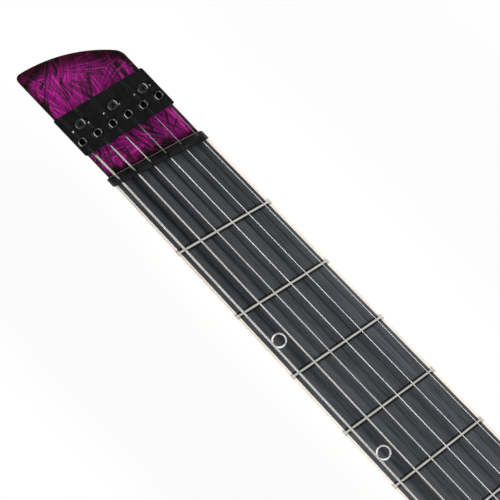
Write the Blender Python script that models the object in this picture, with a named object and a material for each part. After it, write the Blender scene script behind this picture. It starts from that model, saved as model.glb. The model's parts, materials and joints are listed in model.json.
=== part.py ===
"""Headless electric guitar with six fanned strings, lying on its back.

Metres, +Z up. +X runs from the head towards the tail, +Y is the treble side. Z = 0 is the flat
back of the body, and the origin lies under the middle of the line of saddles. The neck, body and
fittings are built from the string plan: each string has its own scale length, and every fret,
pickup and bridge unit lies on a line that fans out between the nut and the saddles.
"""

import math

import bmesh
import bpy
from mathutils import Matrix, Vector

GAP = 0.0003  # clearance left between pieces that touch

# String plan. A share runs from -0.5 on the bass string to +0.5 on the treble string.
STRING_COUNT = 6
TREBLE_SCALE = 0.6477
BASS_SCALE = 0.6731
NUT_FAN = 0.0103  # the treble end of the nut lies this much nearer to the body
NUT_SPREAD = 0.0357
SADDLE_SPREAD = 0.0525
STRING_DIAMETERS = (0.00026, 0.00033, 0.00043, 0.00066, 0.00091, 0.00117)
MEAN_SCALE = (TREBLE_SCALE + BASS_SCALE) / 2
NUT_X = -MEAN_SCALE

# Heights
BODY_TOP = 0.0420
NECK_TOP = 0.0435  # glue face under the fretboard and the headpiece veneer
BOARD_TOP = 0.0495
BOARD_RADIUS = 0.406
HEAD_TOP = 0.0460
FRET_HEIGHT = 0.0011
NUT_CLEARANCE = 0.0005  # string over the first frets, measured at the nut
SADDLE_CLEARANCE = 0.0029  # string over the line of the fret crowns, measured at the saddle
LOCK_STRING_Z = 0.0481  # underside of a clamped string

# Neck
NECK_OFFSET = -0.0005  # the wood is centred a little to the bass side of the strings
BOARD_MARGIN = 0.0033  # from an outer string to the edge of the neck
CROWN_STEPS = 4  # flats that make up the round top across the board
BINDING_WIDTH = 0.0014
BINDING_TOP = 0.0480
FRET_COUNT = 24
FRET_FOOT = 0.0024
FRET_CROWN = 0.0012
FRET_SINK = 0.0003
FRET_END_BEVEL = 0.0008
BOARD_START = 0.0006  # shares of the way from the nut to the saddles
BOARD_END = 0.770
HEEL_END = -0.158
HEEL_START = -0.238
HEEL_BOTTOM = 0.0238
NECK_DEPTH_NUT = 0.0140
NECK_DEPTH_12 = 0.0158
HEAD_DEPTH = 0.0125
NECK_BOLT_HOLE = 0.0026
NECK_BOLT_RADIUS = 0.0021
TRUSS_SLOT_FLOOR = 0.0334
TRUSS_ROD_HALF = 0.0030
TRUSS_WHEEL_Z = 0.0385

# Headpiece, from the middle of the nut
HEAD_BASS_Y = -0.0208
HEAD_TREBLE_Y = 0.0194
HEAD_TIP_BASS = (-0.0680, -0.0208)
HEAD_TIP_TREBLE = (-0.0455, 0.0194)
HEAD_TIP_RADIUS = 0.068
HEAD_RIM_RADIUS = 0.0008
NUT_LENGTH = 0.0046
NUT_TOP = 0.0520
NUT_SHELF = 0.0052  # the neck's wide part starts this far behind the fan line of the nut

# String lock, from the middle of the nut
LOCK_SKEW = 0.215
LOCK_FRONT = -0.0188
LOCK_REAR = -0.0388
LOCK_BASS_Y = -0.0214
LOCK_TREBLE_Y = 0.0205
LOCK_TOP = 0.0524
LOCK_SPREAD = 0.0363
LOCK_OFFSET = -0.00045
LOCK_SCREW_X = -0.0249
LOCK_SCREW_RADIUS = 0.0021
LOCK_SCREW_LIFT = 0.0004
LOCK_SOCKET = (0.0012, 0.0015)  # radius and depth of the hexagon
LOCK_RIM_RADIUS = 0.0004
LOCK_STRING_END = -0.0308
CHANNEL_ROOM = 0.0004  # on each side of a string in its slot or channel

# Bridge units, from each saddle's crest
UNIT_WIDTH = 0.0100
UNIT_FRONT = -0.0140
UNIT_REAR = 0.0445
UNIT_WALL = 0.0012
UNIT_FOOT = 0.0004  # clearance under the units, over the body
UNIT_FLOOR = 0.0020
THRUST_WALL = 0.0045
SCREW_Z = 0.0480
SCREW_RADIUS = 0.0019
SCREW_TIP = 0.0245
CARRIAGE_FRONT = 0.0140
CARRIAGE_REAR = 0.0300
CARRIAGE_TOP = 0.0512
POCKET = (0.0160, 0.0205)
BALL_RADIUS = 0.0019
BALL_Z = 0.0485
KNOB_RADIUS = 0.0047
KNOB_LENGTH = 0.0130
KNOB_GROOVES = 10
KNOB_GROOVE_DEPTH = 0.0004

# Body
EDGE_RADIUS = 0.006
EDGE_STEPS = 3
POCKET_FLOOR = 0.0235
PICKUP_SIZE = (0.038, 0.074)
PICKUP_TOP = 0.0490
PICKUP_BOTTOM = 0.0290
PICKUP_WALL = 0.0012
PICKUP_RIM_RADIUS = 0.0012
PICKUP_CORNER = 0.0036
PICKUP_CAVITY_FLOOR = 0.0200
PICKUP_PLACES = {"neck": 0.808, "bridge": 0.930}
PLATE_TOP = 0.0330
COIL_SIZE = (0.0155, 0.068)
COIL_APART = 0.0176
CONTROL_ANGLE = math.radians(11)
CONTROL_CENTRE = (0.008, 0.0915)
CONTROL_SIZE = (0.128, 0.044)
CONTROL_RIM = 0.005  # width of the ledge that carries the cover
CONTROL_ROOF = 0.0345
COVER_THICKNESS = 0.0022
SWITCH_ALONG = -0.048
SWITCH_HOLE = 0.0059
SWITCH_PIVOT_Z = 0.0405
VOLUME_ALONG = 0.000
TONE_ALONG = 0.046
POT_HOLE = 0.0040
FOREARM_POINT = (-0.060, -0.118, BODY_TOP)
FOREARM_NORMAL = (0.08, -0.42, 1.35)
TAIL_SCOOP = (0.0749, 0, BODY_TOP + 0.030)
TAIL_SCOOP_SIZE = (0.042, 0.072, 0.042)  # half axes of the ball that hollows it
BELLY_RADIUS = 0.220
BELLY_ANGLE = math.radians(32)
BELLY_CENTRE = (-0.075, -0.190, -0.195)
JACK_X = 0.046
JACK_Z = 0.0210
JACK_FACE_Y = 0.1535
JACK_PLATE_RADIUS = 0.0125
JACK_PLATE_THICKNESS = 0.0030
JACK_BARREL = 0.0085
BOLT_PLACES = ((-0.187, -0.015), (-0.187, 0.015), (-0.165, -0.015), (-0.165, 0.015))
HEEL_PLATE_CENTRE = (-0.1755, 0)
HEEL_PLATE_SIZE = (0.034, 0.042)
STRAP_BUTTONS = {
    "horn": ((-0.3022, -0.110, 0.021), (-1, 0, 0)),
    "tail": ((0.1095, -0.104, 0.021), (1, 0, 0)),
}

# Outline of the body, from the neck round the treble side, the tail and the bass side.
BODY_OUTLINE = (
    (-0.200, 0.031), (-0.187, 0.045), (-0.204, 0.068), (-0.240, 0.091),
    (-0.246, 0.106), (-0.222, 0.122), (-0.165, 0.127), (-0.095, 0.109),
    (-0.030, 0.124), (0.045, 0.154), (0.096, 0.140), (0.104, 0.100),
    (0.078, 0.048), (0.068, 0.000), (0.080, -0.048), (0.110, -0.096),
    (0.103, -0.142), (0.045, -0.164), (-0.040, -0.140), (-0.105, -0.122),
    (-0.190, -0.138), (-0.280, -0.131), (-0.304, -0.110), (-0.278, -0.086),
    (-0.224, -0.062), (-0.207, -0.043), (-0.214, -0.030),
)

MAPLE = ((0.78, 0.58, 0.36), 0.42, 0.0)
BINDING = ((0.86, 0.76, 0.62), 0.40, 0.0)
EBONY = ((0.045, 0.050, 0.055), 0.50, 0.0)
PURPLE = ((0.36, 0.03, 0.30), 0.28, 0.0)
BLACK_METAL = ((0.012, 0.012, 0.014), 0.38, 0.9)
BLACK_PLASTIC = ((0.012, 0.012, 0.013), 0.45, 0.0)
STEEL = ((0.62, 0.62, 0.60), 0.25, 1.0)


def clear_scene():
    for item in list(bpy.data.objects):
        bpy.data.objects.remove(item, do_unlink=True)


def material(name, finish):
    """A Principled material from (colour, roughness, metallic)."""
    colour, roughness, metallic = finish
    made = bpy.data.materials.new(name)
    made.use_nodes = True
    shader = made.node_tree.nodes["Principled BSDF"]
    shader.inputs["Base Color"].default_value = (*colour, 1.0)
    shader.inputs["Roughness"].default_value = roughness
    shader.inputs["Metallic"].default_value = metallic
    return made


def place(name, data, finish=None, location=(0, 0, 0)):
    """Link a named object that holds the mesh or curve, with its material."""
    item = bpy.data.objects.new(name, data)
    item.location = location
    bpy.context.collection.objects.link(item)
    if finish and not data.materials:
        data.materials.append(material(name, finish))
    return item


def to_mesh(name, bm):
    """Close the bmesh into a mesh with outward faces and smooth round sides."""
    bmesh.ops.remove_doubles(bm, verts=bm.verts, dist=1e-7)
    bmesh.ops.recalc_face_normals(bm, faces=bm.faces)
    mesh = bpy.data.meshes.new(name)
    bm.to_mesh(mesh)
    bm.free()
    mesh.shade_smooth()
    mesh.set_sharp_from_angle(angle=math.radians(34))
    return mesh


def carve(mesh, tools, operation="DIFFERENCE"):
    """The mesh after a Boolean with each tool mesh in turn."""
    for tool in tools:
        work = place("work", mesh)
        cutter = place("cutter", tool)
        cutter.hide_render = True
        cutter.display_type = "WIRE"
        step = work.modifiers.new("carve", "BOOLEAN")
        step.operation = operation
        step.solver = "EXACT"
        step.object = cutter
        seen = work.evaluated_get(bpy.context.evaluated_depsgraph_get())
        mesh = bpy.data.meshes.new_from_object(seen)
        bpy.data.objects.remove(work)
        bpy.data.objects.remove(cutter)
    bm = bmesh.new()
    bm.from_mesh(mesh)
    return to_mesh(mesh.name, bm)


def soften_rim(mesh, height, radius, steps=2):
    """Round off the rim that lies at this height."""
    bm = bmesh.new()
    bm.from_mesh(mesh)
    rim = [e for e in bm.edges if all(abs(v.co.z - height) < 1e-6 for v in e.verts)]
    bmesh.ops.bevel(
        bm, geom=rim, offset=radius, segments=steps, profile=0.5, affect="EDGES", material=-1
    )
    return to_mesh(mesh.name, bm)


def loft(name, rings):
    """Skin a row of rings, which all have the same number of points, and cap both ends."""
    bm = bmesh.new()
    loops = [[bm.verts.new(point) for point in ring] for ring in rings]
    count = len(rings[0])
    for near, far in zip(loops, loops[1:]):
        for i in range(count):
            j = (i + 1) % count
            bm.faces.new((near[i], near[j], far[j], far[i]))
    bm.faces.new(loops[0])
    bm.faces.new(loops[-1])
    return to_mesh(name, bm)


def prism(name, outline, low, high):
    """An outline in plan, extruded from one height to another."""
    return loft(name, [[(x, y, z) for x, y in outline] for z in (low, high)])


def box(name, low, high):
    outline = ((low[0], low[1]), (high[0], low[1]), (high[0], high[1]), (low[0], high[1]))
    return prism(name, outline, low[2], high[2])


def side_profile(name, profile, low_y, high_y):
    """A profile in the plane of X and Z, extruded across."""
    return loft(name, [[(x, y, z) for x, z in profile] for y in (low_y, high_y)])


def turned(name, profile, centre=(0, 0, 0), axis=(0, 0, 1), sides=16):
    """A solid of revolution from (radius, height) pairs that start and end on the axis."""
    turn = Vector((0, 0, 1)).rotation_difference(Vector(axis)).to_matrix()
    bm = bmesh.new()
    loops = []
    for radius, height in profile:
        if radius == 0:
            loops.append([bm.verts.new((0, 0, height))])
            continue
        angles = [2 * math.pi * i / sides for i in range(sides)]
        ring = [(radius * math.cos(a), radius * math.sin(a), height) for a in angles]
        loops.append([bm.verts.new(point) for point in ring])
    for near, far in zip(loops, loops[1:]):
        for i in range(sides):
            j = (i + 1) % sides
            corners = [near[i % len(near)], near[j % len(near)], far[j % len(far)], far[i % len(far)]]
            bm.faces.new(list(dict.fromkeys(corners)))
    bmesh.ops.transform(bm, verts=bm.verts, matrix=Matrix.Translation(centre) @ turn.to_4x4())
    return to_mesh(name, bm)


def rod(name, centre, axis, radius, low, high, sides=12):
    return turned(name, ((0, low), (radius, low), (radius, high), (0, high)), centre, axis, sides)


def rounded(corners, steps=4):
    """An outline whose corners (x, y, radius) are rounded with arcs."""
    outline = []
    for i, (x, y, radius) in enumerate(corners):
        here = Vector((x, y))
        if radius == 0:
            outline.append((x, y))
            continue
        before = (Vector(corners[i - 1][:2]) - here).normalized()
        after = (Vector(corners[(i + 1) % len(corners)][:2]) - here).normalized()
        half = before.angle(after) / 2
        centre = here + (before + after).normalized() * (radius / math.sin(half))
        start = here + before * (radius / math.tan(half)) - centre
        end = here + after * (radius / math.tan(half)) - centre
        sweep = start.angle_signed(end)
        for k in range(steps + 1):
            arm = start.copy()
            arm.rotate(Matrix.Rotation(-sweep * k / steps, 2))
            outline.append(tuple(centre + arm))
    return outline


def rounded_box(centre, size, angle, radius):
    """Outline of a rounded rectangle, turned in plan."""
    turn = Matrix.Rotation(angle, 2)
    corners = []
    for sx, sy in ((-1, -1), (1, -1), (1, 1), (-1, 1)):
        spot = Vector(centre) + turn @ Vector((sx * size[0] / 2, sy * size[1] / 2))
        corners.append((spot.x, spot.y, radius))
    return rounded(corners)


def smooth_loop(points, steps):
    """A closed smooth curve through the points, as a Catmull-Rom spline."""
    outline = []
    count = len(points)
    for i in range(count):
        a, b, c, d = (Vector(points[(i + k) % count]) for k in (-1, 0, 1, 2))
        for k in range(steps):
            t = k / steps
            spot = b + 0.5 * t * (c - a + t * (2 * a - 5 * b + 4 * c - d + t * (3 * (b - c) + d - a)))
            outline.append(tuple(spot))
    return outline


def share_of(number):
    """Where string 1 (treble) to 6 (bass) lies in the spread."""
    return 0.5 - (number - 1) / (STRING_COUNT - 1)


def spread(t):
    return NUT_SPREAD + t * (SADDLE_SPREAD - NUT_SPREAD)


def fan_x(t, y):
    """Where the fan line at share t of the way from nut to saddles is, at this y."""
    share = y / spread(t)
    nut = NUT_X + share * NUT_FAN
    saddle = share * (NUT_FAN - BASS_SCALE + TREBLE_SCALE)
    return nut + t * (saddle - nut)


def fan_angle(t):
    return math.atan2(fan_x(t, -0.01) - fan_x(t, 0.01), 0.02)


def half_width(x):
    return spread((x - NUT_X) / MEAN_SCALE) / 2 + BOARD_MARGIN


def crowned(height, y):
    """A height on the middle line, carried out over the fretboard's round top."""
    return height - y * y / (2 * BOARD_RADIUS)


def smooth_step(x, start, end):
    t = min(max((x - start) / (end - start), 0), 1)
    return t * t * (3 - 2 * t)


def nut_string_z(y):
    return crowned(BOARD_TOP + FRET_HEIGHT + NUT_CLEARANCE, y)


def saddle_string_z(y):
    return crowned(BOARD_TOP + FRET_HEIGHT + SADDLE_CLEARANCE, y)


def lock_y(number):
    return LOCK_OFFSET + share_of(number) * LOCK_SPREAD


def lock_x(offset, y):
    return NUT_X + offset + LOCK_SKEW * y


def headpiece_outline(rear_end):
    """Plan of the headpiece. rear_end is the pair of corners where it stops at the nut."""
    bass = Vector(HEAD_TIP_BASS)
    treble = Vector(HEAD_TIP_TREBLE)
    chord = treble - bass
    out = Vector((-chord.y, chord.x)).normalized()
    centre = (bass + treble) / 2 - out * math.sqrt(HEAD_TIP_RADIUS**2 - (chord.length / 2) ** 2)
    corners = [(bass.x, bass.y, 0.0022)]
    arm = bass - centre
    sweep = arm.angle_signed(treble - centre)
    for k in range(1, 10):
        turned_arm = arm.copy()
        turned_arm.rotate(Matrix.Rotation(-sweep * k / 10, 2))
        spot = centre + turned_arm
        corners.append((spot.x, spot.y, 0))
    corners.append((treble.x, treble.y, 0.0030))
    corners = [(x + NUT_X, y, radius) for x, y, radius in corners]
    return rounded(corners + rear_end)


def neck_ring(x):
    """One cross-section of the neck: flat glue face on top, round or boxy underneath."""
    head = 1 - smooth_step(x, NUT_X - 0.010, NUT_X + 0.022)
    heel = smooth_step(x, HEEL_START - 0.022, HEEL_START)
    along = (x - NUT_X) / (MEAN_SCALE / 2)
    depth = NECK_DEPTH_NUT + along * (NECK_DEPTH_12 - NECK_DEPTH_NUT)
    depth += head * (HEAD_DEPTH - depth) + heel * (NECK_TOP - HEEL_BOTTOM - depth)
    power = 2.3 + 9 * max(head, heel)
    half = half_width(x) + 0.003 * (1 if x < NUT_X - 0.012 else 0)
    steps = 16
    ring = []
    for i in range(steps + 1):
        angle = math.pi * i / steps
        across = math.copysign(abs(math.cos(angle)) ** (2 / power), math.cos(angle))
        down = math.sin(angle) ** (2 / power)
        ring.append((x, NECK_OFFSET + half * across, NECK_TOP - depth * down))
    return ring


def make_neck():
    """Loft of the cross-sections, trimmed to the headpiece's plan and cut for rod and bolts."""
    near_nut = [-0.0760, -0.0125, -0.0119, -0.004, 0.004, 0.012, 0.022, 0.120, 0.240, 0.340, 0.400]
    near_heel = [HEEL_START - 0.022 + 0.0055 * i for i in range(5)] + [HEEL_END]
    stations = [NUT_X + x for x in near_nut] + near_heel
    mesh = loft("neck", [neck_ring(x) for x in stations])
    wide = 0.04
    past_heel = HEEL_END + 0.01
    rear_end = [
        (fan_x(0, HEAD_TREBLE_Y) - NUT_SHELF, HEAD_TREBLE_Y, 0),
        (fan_x(0, wide) - NUT_SHELF, wide, 0),
        (past_heel, wide, 0),
        (past_heel, -wide, 0),
        (fan_x(0, -wide) - NUT_SHELF, -wide, 0),
        (fan_x(0, HEAD_BASS_Y) - NUT_SHELF, HEAD_BASS_Y, 0),
    ]
    plan = prism("plan", headpiece_outline(rear_end), 0.0, 0.1)
    mesh = carve(mesh, [plan], "INTERSECT")
    half = TRUSS_ROD_HALF + 0.0004
    rod_slot = box("slot", (NUT_X + 0.012, -half, TRUSS_SLOT_FLOOR), (past_heel, half, 0.06))
    bolts = [rod("bolt", (x, y, 0), (0, 0, 1), NECK_BOLT_HOLE, 0.0, 0.0385) for x, y in BOLT_PLACES]
    place("neck", carve(mesh, [rod_slot] + bolts), MAPLE)


def make_truss_rod():
    """Steel rod with a spoke wheel at the heel, in the slot under the fretboard."""
    start = (NUT_X + 0.014, -TRUSS_ROD_HALF, TRUSS_SLOT_FLOOR + 0.0004)
    end = (HEEL_END - 0.002, TRUSS_ROD_HALF, NECK_TOP - GAP)
    wheel = rod("wheel", (HEEL_END + 0.0035, 0, TRUSS_WHEEL_Z), (1, 0, 0), 0.0032, -0.006, 0.003)
    place("truss_rod", carve(box("bar", start, end), [wheel], "UNION"), STEEL)


def make_headpiece_veneer():
    gap = NUT_LENGTH + 0.0004
    rear_end = [
        (fan_x(0, HEAD_TREBLE_Y) - gap, HEAD_TREBLE_Y, 0),
        (fan_x(0, HEAD_BASS_Y) - gap, HEAD_BASS_Y, 0),
    ]
    mesh = prism("headpiece_veneer", headpiece_outline(rear_end), NECK_TOP + GAP, HEAD_TOP)
    place("headpiece_veneer", soften_rim(mesh, HEAD_TOP, HEAD_RIM_RADIUS), PURPLE)


def board_edge(t, side, inset):
    """A point of the fretboard's edge, drawn in by the inset."""
    y = NECK_OFFSET + side * (spread(t) / 2 + BOARD_MARGIN - inset)
    return fan_x(t, y), y


def board_ring(t):
    """Cross-section of the fretboard along the fan line at t."""
    inset = BINDING_WIDTH + GAP
    low = board_edge(t, -1, inset)[1]
    high = board_edge(t, 1, inset)[1]
    ring = [(fan_x(t, low), low, NECK_TOP + GAP)]
    for i in range(CROWN_STEPS + 1):
        y = low + (high - low) * i / CROWN_STEPS
        ring.append((fan_x(t, y), y, crowned(BOARD_TOP, y)))
    ring.append((fan_x(t, high), high, NECK_TOP + GAP))
    return ring


def fret(number):
    """A crowned bar along its fan line, with its ends bevelled inwards."""
    t = 1 - 2 ** (-number / 12)
    low = board_edge(t, -1, 0)[1]
    high = board_edge(t, 1, 0)[1]
    middle = (low + high) / 2
    bevel = 1 - FRET_END_BEVEL / (high - middle)
    along = fan_angle(t)
    rings = []
    for i in range(CROWN_STEPS + 1):
        y = low + (high - low) * i / CROWN_STEPS
        ring = []
        for half, lift, pull in (
            (-FRET_FOOT / 2, -FRET_SINK, 1),
            (-FRET_CROWN / 2, FRET_HEIGHT, bevel),
            (FRET_CROWN / 2, FRET_HEIGHT, bevel),
            (FRET_FOOT / 2, -FRET_SINK, 1),
        ):
            spot = middle + (y - middle) * pull
            x = fan_x(t, spot) + half / math.cos(along)
            ring.append((x, spot, crowned(BOARD_TOP, spot) + lift))
        rings.append(ring)
    return loft("fret", rings)


def make_fretboard():
    """Board with a round top, with its frets let into it."""
    board = loft("fretboard", [board_ring(BOARD_START), board_ring(BOARD_END)])
    frets = [fret(number) for number in range(1, FRET_COUNT + 1)]
    place("fretboard", carve(board, frets, "UNION"), EBONY)


def make_binding():
    """Pale strip round the two sides and the end of the fretboard."""
    end = BOARD_END + GAP / MEAN_SCALE
    outer_end = end + BINDING_WIDTH / MEAN_SCALE
    outline = [
        board_edge(BOARD_START, -1, 0),
        board_edge(outer_end, -1, 0),
        board_edge(outer_end, 1, 0),
        board_edge(BOARD_START, 1, 0),
        board_edge(BOARD_START, 1, BINDING_WIDTH),
        board_edge(end, 1, BINDING_WIDTH),
        board_edge(end, -1, BINDING_WIDTH),
        board_edge(BOARD_START, -1, BINDING_WIDTH),
    ]
    mesh = prism("fretboard_binding", outline, NECK_TOP + GAP, BINDING_TOP)
    place("fretboard_binding", mesh, BINDING)


def make_nut():
    """Slotted bar across the end of the fretboard, highest on the side of the frets."""
    bass_end = ((-0.0221, 0.45), (-0.0217, 0.8), (-0.0208, 1))
    treble_end = ((0.0194, 1), (0.0201, 0.8), (0.0205, 0.45))
    back = -NUT_LENGTH
    profile = ((0, 0), (0, 0.92), (-0.0006, 1), (-0.0020, 0.98), (back, 0.62), (back, 0))
    rings = []
    for y, size in bass_end + ((-0.010, 1), (0, 1), (0.010, 1)) + treble_end:
        middle = fan_x(0, y) + back / 2
        low = NECK_TOP + GAP
        rise = crowned(NUT_TOP, y) - NECK_TOP
        rings.append([(middle + (x - back / 2) * size, y, low + rise * z * size) for x, z in profile])
    slots = [nut_slot(number) for number in range(1, STRING_COUNT + 1)]
    place("nut", carve(loft("nut", rings), slots), BLACK_PLASTIC)


def nut_slot(number):
    """Cutter for one slot, level over the frets and falling towards the lock."""
    y = share_of(number) * NUT_SPREAD
    x = fan_x(0, y)
    floor = nut_string_z(y) - GAP
    fall = (nut_string_z(y) - LOCK_STRING_Z) / (x - lock_x(LOCK_SCREW_X, y))
    reach = 0.008
    open_top = 0.06
    profile = (
        (x + reach, floor), (x, floor), (x - reach, floor - reach * fall),
        (x - reach, open_top), (x + reach, open_top),
    )
    half = STRING_DIAMETERS[number - 1] / 2 + CHANNEL_ROOM
    return side_profile("slot", profile, y - half, y + half)


def make_string_lock():
    """Block on the headpiece with a channel and a screw hole for each string."""
    corners = [
        (lock_x(LOCK_REAR, LOCK_BASS_Y), LOCK_BASS_Y, 0.0006),
        (lock_x(LOCK_FRONT, LOCK_BASS_Y), LOCK_BASS_Y, 0.0008),
        (lock_x(LOCK_FRONT, LOCK_TREBLE_Y), LOCK_TREBLE_Y, 0.0006),
        (lock_x(LOCK_REAR, LOCK_TREBLE_Y), LOCK_TREBLE_Y, 0.0016),
    ]
    block = prism("string_lock", rounded(corners, 2), HEAD_TOP + GAP, LOCK_TOP)
    block = soften_rim(block, LOCK_TOP, LOCK_RIM_RADIUS, 1)
    reach = 0.02
    open_top = 0.06
    cuts = []
    for number in range(1, STRING_COUNT + 1):
        y = lock_y(number)
        half = STRING_DIAMETERS[number - 1] / 2 + CHANNEL_ROOM
        x = lock_x(LOCK_SCREW_X, y)
        low = (x - reach, y - half, LOCK_STRING_Z - GAP)
        cuts.append(box("channel", low, (x + reach, y + half, open_top)))
        hole = LOCK_SCREW_RADIUS + GAP
        cuts.append(rod("hole", (x, y, 0), (0, 0, 1), hole, LOCK_STRING_Z, open_top, 12))
    place("string_lock", carve(block, cuts), BLACK_METAL)


def make_lock_screws():
    """Socket set screws that press the strings into their channels."""
    socket_radius, socket_depth = LOCK_SOCKET
    socket = rod("socket", (0, 0, 0), (0, 0, 1), socket_radius, -socket_depth, 0.002, 6)
    rim = LOCK_SCREW_RADIUS
    lift = LOCK_SCREW_LIFT
    for number in range(1, STRING_COUNT + 1):
        y = lock_y(number)
        tip = LOCK_STRING_Z + STRING_DIAMETERS[number - 1] + GAP - LOCK_TOP
        profile = ((0, tip), (rim * 0.6, tip), (rim, tip + 0.0008), (rim, 0), (rim * 0.8, lift), (0, lift))
        mesh = carve(turned(f"lock_screw_{number}", profile, sides=12), [socket.copy()])
        place(f"lock_screw_{number}", mesh, BLACK_METAL, (lock_x(LOCK_SCREW_X, y), y, LOCK_TOP))


def make_string(number):
    """Tube from its clamped end over the nut and saddle to the ball end in its carriage."""
    radius = STRING_DIAMETERS[number - 1] / 2
    share = share_of(number)
    nut_y = share * NUT_SPREAD
    y = share * SADDLE_SPREAD
    clamp_y = lock_y(number)
    saddle_x = fan_x(1, y)
    crest = Vector((saddle_x, y, saddle_string_z(y) + radius))
    ball = Vector((saddle_x + POCKET[0] + 0.0008, y, BALL_Z))
    run = (ball - crest).normalized()
    swell = BALL_RADIUS / radius
    route = [
        ((lock_x(LOCK_STRING_END, clamp_y), clamp_y, LOCK_STRING_Z + radius), 1),
        ((lock_x(LOCK_SCREW_X + 0.0025, clamp_y), clamp_y, LOCK_STRING_Z + radius), 1),
        ((fan_x(0, nut_y), nut_y, nut_string_z(nut_y) + radius), 1),
        (crest, 1),
        (ball - run * 0.0001, 1),
        (ball, swell),
        (ball + run * 0.0024, swell),
        (ball + run * 0.0027, swell * 0.8),
    ]
    curve = bpy.data.curves.new(f"string_{number}", "CURVE")
    curve.dimensions = "3D"
    curve.bevel_depth = radius
    curve.bevel_resolution = 2
    curve.use_fill_caps = True
    spline = curve.splines.new("POLY")
    spline.points.add(len(route) - 1)
    for point, (spot, size) in zip(spline.points, route):
        point.co = (*spot, 1)
        point.radius = size
    place(f"string_{number}", curve, STEEL)


def unit_base_mesh():
    """Channel with a front foot and a rear wall that takes the pull of the tuning screw."""
    half = UNIT_WIDTH / 2
    profile = (
        (UNIT_FRONT, 0), (UNIT_REAR, 0), (UNIT_REAR, 0.0096), (UNIT_REAR - 0.0010, 0.0106),
        (0.0060, 0.0092), (-0.0050, 0.0052), (UNIT_FRONT + 0.004, 0.0030), (UNIT_FRONT, 0.0030),
    )
    base = side_profile("bridge_base", [(x, z + UNIT_FOOT) for x, z in profile], -half, half)
    floor = UNIT_FOOT + UNIT_FLOOR
    inner = half - UNIT_WALL
    hollow = box("hollow", (UNIT_FRONT + 0.006, -inner, floor), (UNIT_REAR - THRUST_WALL, inner, 0.02))
    bore = rod("bore", (0, 0, SCREW_Z - BODY_TOP), (1, 0, 0), SCREW_RADIUS + GAP, 0.03, 0.05)
    return carve(base, [hollow, bore])


def saddle_mesh(string_z):
    """Block with a grooved crest for the string. Heights are above the top of the body."""
    width = UNIT_WIDTH - 2 * UNIT_WALL - 2 * GAP
    low = UNIT_FOOT + UNIT_FLOOR + GAP
    crest = string_z + 0.0008
    profile = (
        (-0.0070, low), (0.0055, low), (0.0055, crest - 0.0040), (0.0022, crest - 0.0006),
        (0.0010, crest), (-0.0014, crest), (-0.0060, crest - 0.0050), (-0.0070, crest - 0.0062),
    )
    block = side_profile("saddle", profile, -width / 2, width / 2)
    floor = string_z - GAP
    back = 0.009
    groove = (
        (-back, floor - 0.0020), (-0.0008, floor), (0.0004, floor),
        (back, floor - back * 0.42), (back, 0.03), (-back, 0.03),
    )
    return carve(block, [side_profile("groove", groove, -0.0010, 0.0010)])


def carriage_mesh():
    """Sliding block with a pocket for the ball end and a bore for the tuning screw."""
    half = UNIT_WIDTH / 2 - UNIT_WALL - GAP
    low = UNIT_FOOT + UNIT_FLOOR + GAP
    top = CARRIAGE_TOP - BODY_TOP
    ball_z = BALL_Z - BODY_TOP
    front, rear = CARRIAGE_FRONT, CARRIAGE_REAR
    profile = (
        (front, low), (rear, low), (rear, top - 0.0015), (rear - 0.0015, top),
        (front + 0.0025, top), (front, top - 0.0020),
    )
    block = side_profile("carriage", profile, -half, half)
    pocket = box("pocket", (POCKET[0], -0.0023, ball_z - 0.0029), (POCKET[1], 0.0023, 0.02))
    slot = box("slot", (front - 0.002, -0.0010, ball_z - 0.0008), (POCKET[0] + 0.001, 0.0010, 0.02))
    screw_z = SCREW_Z - BODY_TOP
    start = POCKET[1] - 0.001
    bore = rod("bore", (0, 0, screw_z), (1, 0, 0), SCREW_RADIUS + GAP, start, 0.04)
    return carve(block, [pocket, slot, bore])


def knob_mesh():
    """Grooved thumb knob with its screw, along +X from the crest of the saddle."""
    count = KNOB_GROOVES * 2
    start = UNIT_REAR + GAP
    end = start + KNOB_LENGTH
    neck = KNOB_RADIUS * 0.75
    rings = []
    for x, radius, groove in (
        (SCREW_TIP, SCREW_RADIUS * 0.8, 0), (SCREW_TIP + 0.0006, SCREW_RADIUS, 0),
        (start, SCREW_RADIUS, 0), (start, neck, 0), (start + 0.0016, neck, 0),
        (start + 0.0026, KNOB_RADIUS, KNOB_GROOVE_DEPTH), (end - 0.0012, KNOB_RADIUS, KNOB_GROOVE_DEPTH),
        (end, neck, 0),
    ):
        ring = []
        for i in range(count):
            angle = 2 * math.pi * i / count
            r = radius - groove * (i % 2)
            ring.append((x, r * math.cos(angle), r * math.sin(angle)))
        rings.append(ring)
    return loft("tuner_knob", rings)


def make_bridge():
    """Six units, each with its base, saddle, string carriage and tuning knob."""
    base = unit_base_mesh()
    carriage = carriage_mesh()
    knob = knob_mesh()
    for number in range(1, STRING_COUNT + 1):
        y = share_of(number) * SADDLE_SPREAD
        spot = (fan_x(1, y), y, BODY_TOP)
        place(f"bridge_base_{number}", base, BLACK_METAL, spot)
        saddle = saddle_mesh(saddle_string_z(y) - BODY_TOP)
        place(f"saddle_{number}", saddle, BLACK_METAL, spot)
        place(f"string_carriage_{number}", carriage, BLACK_METAL, spot)
        place(f"tuner_knob_{number}", knob, BLACK_METAL, (spot[0], y, SCREW_Z))


def control_spot(along, across=0.0):
    """A place on the line of the controls."""
    turn = Matrix.Rotation(CONTROL_ANGLE, 2)
    spot = Vector(CONTROL_CENTRE) + turn @ Vector((along, across))
    return spot.x, spot.y


def pickup_outline(place_name, grow, radius):
    t = PICKUP_PLACES[place_name]
    size = (PICKUP_SIZE[0] + 2 * grow, PICKUP_SIZE[1] + 2 * grow)
    return rounded_box((fan_x(t, 0), 0), size, fan_angle(t), radius)


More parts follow.
